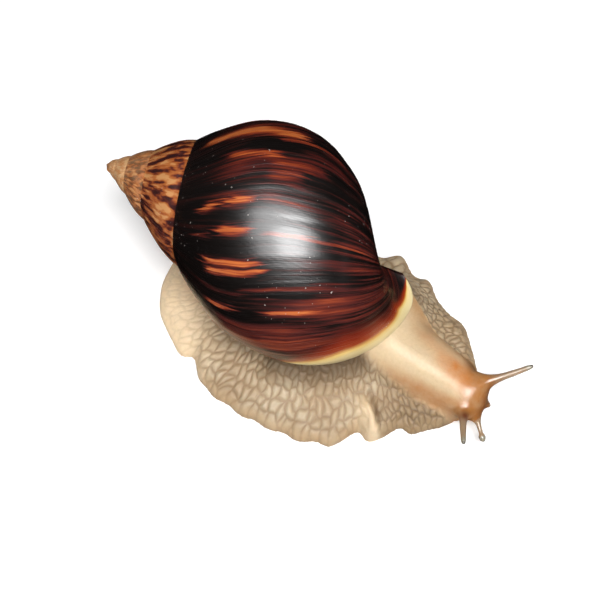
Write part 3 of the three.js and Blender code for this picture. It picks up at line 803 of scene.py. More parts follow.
@dataclass
class Shell:
    """The whole shell, with a rolled lip and the mouth opening behind it."""

    form: ShellForm = field(default_factory=ShellForm)
    glaze: ShellGlaze = field(default_factory=ShellGlaze)
    columns: int = 240
    whorl_rows: int = 14
    base_rows: int = 70
    lip_thickness: float = 1.5
    lip_thin: float = 0.1  # fractions over which it thins to nothing, at the suture
    lip_thin_end: float = 0.06  # and at the pole
    lip_steps: int = 8
    lip_faded: float = 0.72  # share of the base beyond which its coloured edge fades
    mouth_columns: int = 10
    corner_share: float = 0.3  # how far the mouth's corner lies from the suture
    rib_height: float = 0.11
    rib_ease: float = 6.0  # degrees behind the lip over which the ribs fade
    tip_height: float = 0.35

    def __post_init__(self) -> None:
        """Start with no points and no faces."""
        self.points: list[Array] = []
        self.faces: list[tuple[int, ...]] = []
        self.marks: list[list[Mark]] = []

    def rib(self, theta: Array) -> Array:
        """Height of the growth ribs at a growth angle."""
        turn = theta / TURN
        waves = ((31, 0.3, 0.5), (57, 1.7, 0.4), (83, 4.1, 0.5), (131, 2.2, 0.3))
        return self.rib_height * sum(
            share * np.sin(turn * rate * TURN + start + 2.0 * np.sin(turn * 17.0 + start))
            for rate, start, share in waves
        )

    def add(self, theta: float, z: float, r: float) -> int:
        """Add a point, blunted near the apex, and return its number."""
        blunt = self.form.blunt
        wider = 0.7 * blunt * math.exp(-((z / (1.8 * blunt)) ** 2)) if r > 0.0 else 0.0
        self.points.append(self.form.point(theta, math.hypot(z, blunt), r + wider))
        return len(self.points) - 1

    def quad(self, corners: tuple[int, ...], marks: list[Mark]) -> None:
        """Add a face with the growth marks of its corners, leaving out doubled corners."""
        kept = [i for i, corner in enumerate(corners) if corner not in corners[:i]]
        if len(kept) < 3:
            return
        self.faces.append(tuple(corners[i] for i in kept))
        self.marks.append([marks[i] for i in kept])

    def strip(self, grid: list[list[int]], marks: list[list[Mark]],
              turned: bool = False) -> None:
        """Join neighbouring columns of points with faces.

        Args:
            grid: Point numbers, column by column.
            marks: Growth marks of the same points.
            turned: Whether the faces look the other way.
        """
        for i in range(len(grid) - 1):
            for j in range(len(grid[i]) - 1):
                spots = [(i, j), (i + 1, j), (i + 1, j + 1), (i, j + 1)]
                if turned:
                    spots.reverse()
                self.quad(
                    tuple(grid[a][b] for a, b in spots), [marks[a][b] for a, b in spots],
                )

    def build(self) -> bpy.types.Object:
        """Make the whole shell's mesh with its growth marks.

        Returns:
            The shell.
        """
        form = self.form
        count = self.columns * form.turns
        thetas = form.lip + (np.arange(count + 1) - count) * TURN / self.columns
        rows = self.grow_spire(thetas[: count - self.columns + 1])
        last, last_marks = self.grow_last_whorl(rows, thetas[count - self.columns:])
        self.close_apex(rows)
        self.open_mouth(last, last_marks)
        return self.finish_mesh()

    def lines(self, theta: float, z: Array) -> Array:
        """Growth angles of the growth lines that pass axial places on one column."""
        behind = (self.form.lip - theta) / TURN
        return theta - self.form.leaning(behind, z / self.form.length) * TURN

    def grow_spire(self, thetas: Array) -> list[list[int]]:
        """Grow the part of every whorl that stays in view above the next.

        Args:
            thetas: Growth angles of the columns.

        Returns:
            Point numbers, column by column.
        """
        form = self.form
        start_fraction = form.next_suture_fraction()
        fractions = np.arange(self.whorl_rows + 1) / self.whorl_rows
        z = form.suture() * form.expansion ** fractions
        rows: list[list[int]] = []
        marks: list[list[Mark]] = []
        for i, theta in enumerate(map(float, thetas)):
            size = float(form.growth(theta))
            ribs = self.rib(self.lines(theta, z)) * size * np.sin(math.pi * fractions)
            r = form.profile_radius(z) * size + ribs
            if i < self.columns:
                column = [self.add(theta, float(z[0]) * size, float(r[0]))]
            else:
                column = [rows[i - self.columns][self.whorl_rows]]
            column += [self.add(theta, float(a) * size, float(b)) for a, b in zip(z[1:], r[1:])]
            rows.append(column)
            behind = (form.lip - theta) / TURN
            marks.append([
                (behind, f * start_fraction, s, 0.0) for f, s in zip(fractions, z / form.length)])
        self.strip(rows, marks)
        return rows

    def grow_last_whorl(self, rows: list[list[int]],
                        thetas: Array) -> tuple[list[list[int]], list[list[Mark]]]:
        """Grow the last whorl from its suture down to the base's pole.

        Args:
            rows: Point numbers of the spire's columns.
            thetas: Growth angles of the last whorl's columns.

        Returns:
            Point numbers and growth marks, column by column.
        """
        form = self.form
        start_fraction = form.next_suture_fraction()
        last: list[list[int]] = []
        marks: list[list[Mark]] = []
        for i, theta in enumerate(map(float, thetas), len(rows) - 1):
            if i == len(rows) - 1:
                column = list(rows[i])
                shares = [k / self.whorl_rows * start_fraction for k in range(self.whorl_rows + 1)]
            else:
                column = [rows[i - self.columns][self.whorl_rows]]
                shares = [0.0]
            left = self.whorl_rows + self.base_rows - (len(column) - 1)
            fractions = mix(shares[-1], 1.0, np.arange(1, left + 1) / left)
            z, r = form.last_place(theta, fractions)
            late = clamp01((form.lip - theta) / math.radians(self.rib_ease))
            ribs = self.rib(self.lines(theta, form.last_profile(fractions)[0]))
            r = np.maximum(r + ribs * np.sin(math.pi * clamp01(fractions)) ** 0.7 * late, 0.0)
            r[-1] = 0.0
            column += [self.add(theta, float(a), float(b)) for a, b in zip(z, r)]
            last.append(column)
            shares.extend(fractions.tolist())
            reaches = form.last_profile(np.array(shares))[0] / form.length
            behind = (form.lip - theta) / TURN
            marks.append([(behind, f, s, 0.0) for f, s in zip(shares, reaches)])
        self.strip(last, marks)
        return last, marks

    def close_apex(self, rows: list[list[int]]) -> None:
        """Close the blunt tip with a fan."""
        form = self.form
        size = float(form.growth(form.lip - form.turns * TURN))
        tip = self.add(0.0, form.suture() * size * self.tip_height, 0.0)
        ring = [column[0] for column in rows[: self.columns]] + list(reversed(rows[0][1:]))
        mark = (float(form.turns), 0.0, form.suture() / form.length, 0.0)
        for i, corner in enumerate(ring):
            self.quad((tip, corner, ring[(i + 1) % len(ring)]), [mark] * 3)

    def open_mouth(self, last: list[list[int]], last_marks: list[list[Mark]]) -> None:
        """Roll the lip over, line the mouth and close it deep inside.

        Args:
            last: Point numbers of the last whorl's columns.
            last_marks: Their growth marks.
        """
        grid = self.line_wall(last, last_marks[-1])
        corners = [column[0] for column in grid[self.lip_steps + 1:]]
        core = self.line_core(last[0][self.whorl_rows:], corners)
        poles = [column[-1] for column in reversed(core[1:-1])]
        poles += [column[-1] for column in last[: len(last) - self.mouth_columns]]
        self.close_between(grid[-1], core[-1] + poles, DEEP)

    def line_wall(self, last: list[list[int]], lip_marks: list[Mark]) -> list[list[int]]:
        """Roll the lip over and line the wall behind it.

        Args:
            last: Point numbers of the last whorl's columns.
            lip_marks: Growth marks of the lip.

        Returns:
            Point numbers from the lip inwards, column by column.
        """
        lip, before = last[-1], last[-2]
        places = np.array([self.points[i] for i in lip])
        forward = places - np.array([self.points[i] for i in before])
        forward /= np.maximum(np.linalg.norm(forward, axis=1, keepdims=True), 1e-9)
        outward = np.cross(forward, np.gradient(places, axis=0))
        outward /= np.maximum(np.linalg.norm(outward, axis=1, keepdims=True), 1e-9)
        if np.sum(outward * (places - self.form.axis_at(places[:, 0])), axis=1).mean() < 0.0:
            outward = -outward
        fractions = np.array([mark[1] for mark in lip_marks])
        ends = clamp01(fractions / self.lip_thin) * clamp01((1.0 - fractions) / self.lip_thin_end)
        thick = self.lip_thickness * ends
        half = thick[:, None] / 2.0
        grid = [lip]
        marks = [lip_marks] * (self.lip_steps + 1)
        for step in range(1, self.lip_steps + 1):
            turn = math.pi * step / self.lip_steps
            ring = places - outward * half * (1.0 - math.cos(turn)) + forward * half * math.sin(turn)
            grid.append(self._ring(ring, lip))
        for step in range(1, self.mouth_columns + 1):
            column = last[-1 - step]
            spots = np.array([self.points[i] for i in column])
            ring = spots - outward * thick[:, None]
            self.points.append(mix(spots[0], ring[1], self.corner_share))
            grid.append([len(self.points) - 1] + self._ring(ring, column)[1:])
            marks.append([(0.0, f, 1.0, 1.0) for f in fractions])
        self.strip(grid, marks)
        return grid

    def line_core(self, first: list[int], corners: list[int]) -> list[list[int]]:
        """Line the mouth's inner side, which is the whorl before.

        Args:
            first: Point numbers of the column in the plane of the lip.
            corners: Point numbers where the lining meets the wall's.

        Returns:
            Point numbers from the lip inwards, column by column.
        """
        form = self.form
        start = form.next_suture_fraction()
        shares = mix(start, 1.0, np.arange(1, self.base_rows + 1) / self.base_rows)
        core = [first]
        for step, corner in enumerate(corners, 1):
            theta = form.lip - TURN - step * TURN / self.columns
            z, r = form.last_place(theta, shares)
            core.append([corner] + [self.add(theta, float(a), float(b)) for a, b in zip(z, r)])
        self.strip(core, [[DEEP] * len(column) for column in core], turned=True)
        return core

    def close_between(self, first: list[int], second: list[int], mark: Mark) -> None:
        """Close the gap between two rows of points that share both ends.

        Args:
            first: Point numbers of a row.
            second: Point numbers of the other row.
            mark: Growth marks of the faces.
        """
        i = j = 1
        self.quad((first[0], first[1], second[1]), [mark] * 3)
        while (i, j) != (len(first) - 2, len(second) - 2):
            gain = self.apart(first[i + 1], second[j]) - self.apart(first[i], second[j + 1])
            if j == len(second) - 2 or (i < len(first) - 2 and gain <= 0.0):
                self.quad((first[i], first[i + 1], second[j]), [mark] * 3)
                i += 1
            else:
                self.quad((first[i], second[j + 1], second[j]), [mark] * 3)
                j += 1
        self.quad((first[-2], first[-1], second[-2]), [mark] * 3)

    def apart(self, one: int, other: int) -> float:
        """Distance between two points."""
        return float(np.linalg.norm(self.points[one] - self.points[other]))

    def _ring(self, ring: Array, shared: list[int]) -> list[int]:
        """Add a ring's points, keeping its two ends on those of another ring."""
        numbers = [shared[0]]
        for spot in ring[1:-1]:
            self.points.append(spot)
            numbers.append(len(self.points) - 1)
        numbers.append(shared[-1])
        return numbers

    def finish_mesh(self) -> bpy.types.Object:
        """Turn points, faces and marks into the piece."""
        piece = PieceMaker.mesh("Snail_shell", np.array(self.points), self.faces)
        mesh = piece.data
        marks = np.array([mark for face in self.marks for mark in face])
        if len(mesh.loops) != len(marks):
            raise RuntimeError(f"{len(mesh.loops)} corners, {len(marks)} marks")
        straight, fraction, reach, inner = marks.T
        behind = straight + self.form.leaning(straight, reach)
        form = self.form
        capped = clamp01((fraction - form.cap_start) / (1.0 - form.cap_start))
        side_width = np.interp(reach, LIP_REACHES, LIP_WIDTHS)
        width = np.where(capped > 0.0, np.interp(capped, CAP_SHARES, CAP_WIDTHS), side_width)
        rim = straight * TURN * form.profile_radius(reach * form.length) / width
        rim = rim + LIP_SPAN * soft_step((capped - self.lip_faded) / (1.0 - self.lip_faded))
        grown = np.stack([behind, reach, 0.0 * reach], axis=1)
        layers = {"growth": grown, "behind": behind, "reach": reach, "rim": rim, "inner": inner}
        for name, values in layers.items():
            PieceMaker.spread(piece, name, values, "CORNER")
        work = bmesh.new()
        work.from_mesh(mesh)
        bmesh.ops.recalc_face_normals(work, faces=work.faces)
        open_edges = sum(len(edge.link_faces) != 2 for edge in work.edges)
        log.info("%s: %d open edges", piece.name, open_edges)
        work.to_mesh(mesh)
        work.free()
        PieceMaker.hand_over(piece, self.glaze.material(), "shell", "shell")
        return piece


# ---------------------------------------------------------------- the flesh


class Side(Enum):
    """A side of the animal."""

    RIGHT = -1
    LEFT = 1


@dataclass(frozen=True)
class Lobe:
    """A lobe, or with a negative size a notch, of the foot's margin."""

    side: Side
    x: float
    reach: float
    out: float


LOBES = (
    Lobe(Side.RIGHT, -40.0, 7.0, -1.6),
    Lobe(Side.RIGHT, -30.5, 6.0, -5.2),
    Lobe(Side.RIGHT, 18.0, 9.0, 1.0),
    Lobe(Side.RIGHT, 26.5, 5.0, 1.2),
    Lobe(Side.RIGHT, 34.5, 5.5, -4.4),
    Lobe(Side.RIGHT, 41.5, 3.2, -0.4),
    Lobe(Side.RIGHT, 47.5, 6.0, -5.2),
    Lobe(Side.RIGHT, 58.0, 7.0, -1.4),
    Lobe(Side.LEFT, 26.0, 8.5, 5.6),
    Lobe(Side.LEFT, 38.5, 6.5, 5.2),
    Lobe(Side.LEFT, 57.0, 15.0, 4.4),
    Lobe(Side.LEFT, -22.0, 8.0, -2.0),
    Lobe(Side.LEFT, 2.0, 9.0, 1.2),
)


@dataclass(frozen=True)
class FootForm:
    """Outline and thickness of the flat foot."""

    tail_x: float = -54.5
    widest_x: float = 9.0
    front_x: float = 70.0
    half_width: float = 40.5
    tail_bend: float = 2.4
    middle_bend: float = -1.2
    front_bend: float = -4.8
    front_power: float = 1.7
    front_round: float = 1.5
    edge: float = 2.4
    edge_run: float = 1.3
    rise: float = 5.6
    rise_run: float = 12.0
    wave_height: float = 0.45
    wave_length: float = 11.0
    lobe_reach: float = 0.6

    def _shares(self, x: Array) -> tuple[Array, Array]:
        """Shares of the way from the widest place back to the tail, and ahead to the front."""
        back = clamp01((self.widest_x - x) / (self.widest_x - self.tail_x))
        ahead = clamp01((x - self.widest_x) / (self.front_x - self.widest_x))
        return back, ahead

    def middle(self, x: Array) -> Array:
        """Middle line of the foot, as the distance to the left."""
        back, ahead = self._shares(x)
        rear = x < self.widest_x
        end = np.where(rear, self.tail_bend, self.front_bend)
        return mix(self.middle_bend, end, np.where(rear, back, ahead) ** 2)

    def half(self, x: Array, side: Array, lobed: bool = True) -> Array:
        """Half the foot's width on each side.

        Args:
            x: Distance forward.
            side: -1 for the right and 1 for the left.
            lobed: Whether the margin has its lobes and waves.

        Returns:
            The half widths.
        """
        back, ahead = self._shares(x)
        front = (1.0 - ahead ** self.front_power) ** (1.0 / self.front_round)
        share = np.where(x < self.widest_x, np.sqrt(1.0 - back * back), front)
        if not lobed:
            return share * self.half_width
        lobes = self.wave_height * np.sin(x * TURN / self.wave_length + side)
        for lobe in LOBES:
            here = lobe.out * bump(x, lobe.x, lobe.reach * self.lobe_reach)
            lobes = lobes + np.where(side == lobe.side.value, here, 0.0)
        return share * self.half_width + lobes * np.minimum(1.0, share * 3.0)

    def skirt(self, inward: Array) -> Array:
        """Height of the flat foot at a distance inward from the margin."""
        rim = self.edge * np.sqrt(1.0 - (1.0 - clamp01(inward / self.edge_run)) ** 2)
        return rim + self.rise * (1.0 - np.exp(-inward / self.rise_run))

    def outline(self, lobed: bool, count: int) -> Array:
        """Points round the margin, from the tail along the right side and back on the left."""
        turn = (1.0 - np.cos(np.linspace(0.0, math.pi, count))) / 2.0
        x = self.tail_x + (self.front_x - self.tail_x) * turn
        right = self.middle(x) - self.half(x, np.full_like(x, -1.0), lobed)
        left = self.middle(x) + self.half(x, np.full_like(x, 1.0), lobed)
        forth = np.stack([x, right], axis=1)
        return np.concatenate([forth, np.stack([x, left], axis=1)[-2:0:-1]])


@dataclass(frozen=True)
class FlankForm:
    """The flesh that comes down from the shell's mouth."""

    lip_start: float = 0.3
    back_x: float = -8.0
    columella_side: float = -1.0
    inset: float = 1.9
    below: float = 0.6
    slope: float = 1.75
    rear_slope: float = 1.2
    ease_x: float = -4.0
    ease_run: float = 26.0
    inner_slope: float = 4.0
    depth: float = 3.0
    blend: float = 6.0


@dataclass(frozen=True)
class NeckForm:
    """The neck's ridge from under the lip to the head."""

    start_x: float = 12.0
    start_run: float = 14.0
    end_x: float = 66.0
    start_y: float = 2.5
    end_y: float = -7.6
    start_half_width: float = 17.0
    end_half_width: float = 8.2
    start_top: float = 27.0
    end_top: float = 17.4
    power: float = 2.5
    far_extra: float = 3.4  # more half width on the left
    floor: float = 2.0
    blend: float = 4.5
    nose_x: float = 59.5

    def along(self, x: Array) -> Array:
        """Share of the way along the neck."""
        return clamp01((x - self.start_x) / (self.end_x - self.start_x))

    def across(self, x: Array, y: Array) -> Array:
        """Signed share of the half width, positive on the left."""
        along = self.along(x)
        off = y - mix(self.start_y, self.end_y, along ** 1.2)
        half = mix(self.start_half_width, self.end_half_width, along)
        return off / (half + np.where(off > 0.0, self.far_extra, 0.0))


@dataclass(frozen=True)
class PleatForm:
    """The raised pleat that runs to the notch in the right margin."""

    start: tuple[float, float] = (31.0, -19.4)
    end: tuple[float, float] = (40.4, -31.2)
    height: float = 4.2
    ahead_width: float = 1.8
    behind_width: float = 3.8
    swell: Zone = Zone(0.0, 0.5)  # shares of the way along
    sink: Zone = Zone(1.35, -0.3)

    def crest(self, x: Array, y: Array) -> tuple[Array, Array]:
        """Find places on the pleat.

        Args:
            x: Distances forward.
            y: Distances to the left.

        Returns:
            How far each place is up the pleat, from 0 to 1, and how far ahead of its crest.
        """
        start = np.array(self.start)
        way = np.array(self.end) - start
        spots = np.stack([x, y], axis=-1) - start
        along = (spots @ way) / (way @ way)
        ahead = -(spots[..., 0] * way[1] - spots[..., 1] * way[0]) / np.linalg.norm(way)
        width = np.where(ahead > 0.0, self.ahead_width, self.behind_width)
        return bump(ahead, 0.0, width) * self.swell(along) * self.sink(along), ahead


@dataclass(frozen=True)
class Feeler:
    """A feeler along a bent path, with its radii."""

    path: tuple[tuple[float, float, float], ...]
    root: float
    waist: float
    tip: float
    bulb: float
    flare: float

    def radius(self, share: Array) -> Array:
        """Radius at a share of the length."""
        flare = clamp01(1.0 - share / self.flare)
        stalk = mix(self.waist, self.tip, clamp01((share - self.flare) / (1.0 - self.flare)))
        bulb = (self.bulb - self.tip) * bump(share, 0.95, 0.06)
        return stalk + (self.root - self.waist) * flare ** 2.2 + bulb

    def centre(self, share: Array) -> Array:
        """Points of the path, evenly spaced by share of the parameter."""
        a, b, c = (np.array(spot) for spot in self.path)
        t = np.asarray(share, dtype=float)[..., None]
        return (1 - t) ** 2 * a + 2 * t * (1 - t) * b + t ** 2 * c

    def tangent(self, share: float) -> Array:
        """Direction of the path."""
        a, b, c = (np.array(spot) for spot in self.path)
        way = 2 * (1 - share) * (b - a) + 2 * share * (c - b)
        return way / np.linalg.norm(way)


UPPER = dict(root=4.6, waist=1.12, tip=0.76, bulb=0.86, flare=0.7)
FEELERS = {
    "left": Feeler(((66.6, -5.2, 12.8), (74.5, -1.4, 16.2), (83.0, 4.6, 20.4)), **UPPER),
    "right": Feeler(((66.4, -12.4, 8.6), (67.0, -19.0, 14.4), (70.1, -29.0, 18.6)), **UPPER),
    "lower_left": Feeler(
        ((68.8, -7.4, 7.6), (71.8, -7.3, 6.6), (73.9, -7.1, 5.6)), 2.0, 0.56, 0.44, 0.42, 0.7,
    ),
    "lower_right": Feeler(
        ((68.2, -9.8, 7.8), (71.8, -14.4, 7.4), (75.8, -20.1, 5.6)), 3.4, 0.68, 0.62, 1.1, 0.75,
    ),
}
HEAD_YAW = -17.0
HEAD = ((65.2, -7.7, 10.8), (7.3, 7.0, 6.4))
SNOUT = ((68.0, -9.2, 7.4), (3.4, 4.7, 4.3))


@dataclass(frozen=True)
class Spot:
    """A soft spot of colour."""

    centre: tuple[float, float, float]
    reach: float
    strength: float

    def share(self, points: Array) -> Array:
        """How much of the spot's colour shows at each point."""
        away = np.linalg.norm(points - np.array(self.centre), axis=1)
        return self.strength * bump(away, 0.0, self.reach)


@dataclass(frozen=True)
class Patch:
    """A soft oval of colour that runs down the neck."""

    centre: tuple[float, float]
    length: float
    width: float
    strength: float
    way: tuple[float, float] = (0.88, -0.475)  # down the neck, seen from above

    def share(self, points: Array) -> Array:
        """How much of the patch's colour shows at each point."""
        ahead, left = (points[:, :2] - np.array(self.centre)).T
        forth, side = self.way
        along, off = forth * ahead + side * left, forth * left - side * ahead
        return self.strength * bump(np.hypot(along / self.length, off / self.width), 0.0, 1.0)


STAIN = Spot((44.0, 3.0, 20.0), 6.0, 0.45)
# painted shade: dark red-brown spot in the fold at the right feeler's root
ROOT_FOLD_SHADE = Spot((67.8, -18.2, 14.8), 2.0, 0.9)
HEAD_PATCH = Patch((59.6, -4.6), 9.0, 4.2, 1.0)
NECK_PATCH = Patch((50.5, 0.4), 10.0, 3.2, 0.45)


@dataclass(frozen=True)
class SkinZones:
    """Where the skin changes, in millimetres or in shares of the neck and feelers."""

    neck: Zone = Zone(18.0, 4.0)
    near_edge: Zone = Zone(-0.1, 0.26)
    far_edge: Zone = Zone(1.06, -0.1)
    near_side: Zone = Zone(-0.6, -0.32)
    near_side_along: Zone = Zone(0.15, 0.5)
    far_side: Zone = Zone(0.3, 0.6)
    head: Zone = Zone(60.5, 6.5)
    head_low: Zone = Zone(2.0, 3.0)
    head_across: Zone = Zone(1.25, -0.2)
    feeler: Zone = Zone(0.0, 0.25)
    feeler_plain: Zone = Zone(0.0, 0.2)
    feeler_slim: Zone = Zone(0.0, 0.4)
    feeler_firm: Zone = Zone(0.3, 0.15)
    near_head: Zone = Zone(19.0, -6.0)
    off_floor: Zone = Zone(1.2, 1.5)
    relaxed: Zone = Zone(1.5, 3.0)
    brow: Zone = Zone(69.5, 4.5)
    tail: Zone = Zone(-16.0, -26.0)
    low: Zone = Zone(0.0, 0.8)
    smooth_margin: Zone = Zone(0.6, 3.0)
    margin: Zone = Zone(4.0, -3.5)
    # how far the painted shadow along the shell's edge reaches, in millimetres outside the mouth's
    # plan
    painted_shadow_reach: Zone = Zone(6.5, -7.5)
    dusk: Zone = Zone(30.0, 22.0)
    dusk_across: Zone = Zone(0.2, 0.6)
    small_cells: Zone = Zone(20.0, 30.0)
    # where the painted shade in the crease ahead of the pleat starts, along the animal
    fold: Zone = Zone(30.0, 4.0)


@dataclass(frozen=True)
class SkinFinish:
    """Colours of the moist skin."""

    tubercle: Colour = srgb(174, 152, 122)
    pale: Colour = srgb(188, 170, 142)
    # the groove colours darken the grooves: partly the skin's own tone there, partly painted shade
    groove: Colour = srgb(132, 104, 72)
    dusk: Colour = srgb(128, 106, 74)
    dusk_groove: Colour = srgb(92, 68, 44)
    margin: Colour = srgb(182, 151, 114)
    tail: Colour = srgb(240, 215, 178)
    # painted shadow of the shell, laid on the flesh along the shell's edge
    painted_shell_shadow: Colour = srgb(70, 52, 34)
    band: Colour = srgb(208, 185, 149)
    near_side: Colour = srgb(176, 120, 70)
    far_side: Colour = srgb(202, 156, 106)
    stain: Colour = srgb(176, 148, 114)
    patch: Colour = srgb(196, 118, 50)
    head: Colour = srgb(158, 102, 48)
    brow: Colour = srgb(96, 38, 16)
    feeler: Colour = srgb(156, 132, 106)
    feeler_tip: Colour = srgb(146, 140, 122)

    def colour(self, finish: Finish, grooves: Socket, shoulders: Socket, fleck: Socket) -> Socket:
        """Lay the skin's colours over each other.

        Args:
            finish: The finish being made.
            grooves: Where the narrow grooves run, darkened partly by their own tone and partly by
                painted shade.
            shoulders: Where the wider sides of the grooves run, darkened in the same way.
            fleck: A fine noise.

        Returns:
            The colour.
        """
        tree = finish.tree
        place = finish.place()
        blotch = tree.noise(place, (90.0,) * 3)
        cloud = tree.noise(place, (240.0,) * 3, (3.0, 1.0, 2.0), detail=3.0)
        dusk = finish.attribute("dusk")
        colour = tree.blend(blotch.over(0.38, 0.66), self.tubercle, self.pale)
        colour = tree.blend(dusk * 0.75, colour, self.dusk)
        colour = tree.blend(finish.attribute("margin") * (1.0 - dusk * 0.6), colour, self.margin)
        colour = tree.blend(finish.attribute("tail"), colour, self.tail)
        # darkening of the grooves and their sides: partly the skin's own tone, partly painted shade
        groove_tone_and_shade = tree.blend(dusk, self.groove, self.dusk_groove)
        colour = tree.blend(shoulders * 0.34, colour, groove_tone_and_shade)
        colour = tree.blend(grooves * 0.52, colour, groove_tone_and_shade)
        # painted shadow: darkens the flesh next to and under the shell's edge
        colour = tree.blend(finish.attribute("under") * 0.82, colour, self.painted_shell_shadow)
        # painted highlight: the pleat's crest is paled with the tail colour
        colour = tree.blend(finish.attribute("crest") * 0.75, colour, self.tail)
        # painted shade in the crease just ahead of the pleat
        colour = tree.blend(finish.attribute("fold") * 0.8, colour, self.dusk_groove)
        colour = tree.blend(finish.attribute("band"), colour, self.band)
        soft = cloud.over(0.3, 0.7)
        for name, over in (("near_side", self.near_side), ("far_side", self.far_side),
                           ("stain", self.stain), ("head", self.head), ("patch", self.patch),
                           ("brow", self.brow)):
            share = finish.attribute(name)
            colour = tree.blend(share * (0.72 + soft * 0.28), colour, over)
        feeler = finish.attribute("feeler")
        colour = tree.blend(feeler.over(0.3, 0.62), colour, self.feeler)
        colour = tree.blend(feeler.over(0.9, 0.99), colour, self.feeler_tip)
        # painted shade in the fold at the right feeler's root, in the brow colour
        colour = tree.blend(finish.attribute("spot"), colour, self.brow)
        return tree.blend((fleck - 0.5) * 0.3 + 0.06, colour, self.groove)

    def material(self) -> bpy.types.Material:
        """Make the moist, tubercled finish.

        Returns:
            The material.
        """
        finish = Finish("Moist skin")
        tree = finish.tree
        place = finish.place()
        rough = finish.attribute("rough")
        wet = finish.attribute("wet")
        border = tree.borders(finish.attribute("flow", "Vector"))
        fleck = tree.noise(place, (900.0,) * 3, detail=3.0)
        grooves = border.over(0.15, 0.02) * rough
        shoulders = border.over(0.36, 0.05) * rough
        wrinkles = tree.noise(finish.attribute("flow", "Vector"), (3.2, 0.9, 1.0), detail=3.0)
        normal = finish.relief([
            (border.over(0.0, 0.34) * rough, 0.12),
            (wrinkles * (1.0 - wet), 0.14),
            (fleck, 0.06),
            (tree.noise(place, (2600.0,) * 3), 0.02),
        ])
        return finish.set(
            Base_Color=self.colour(finish, grooves, shoulders, fleck),
            Roughness=0.56 - wet * 0.24 + (fleck - 0.5) * 0.16,
            Normal=normal,
            Subsurface_Weight=0.12,
            Subsurface_Radius=(0.004, 0.002, 0.001),
            Subsurface_Scale=0.4,
            Coat_Weight=wet * wet * 0.65,
            Coat_Roughness=0.08,
            Specular_IOR_Level=0.22,
        )


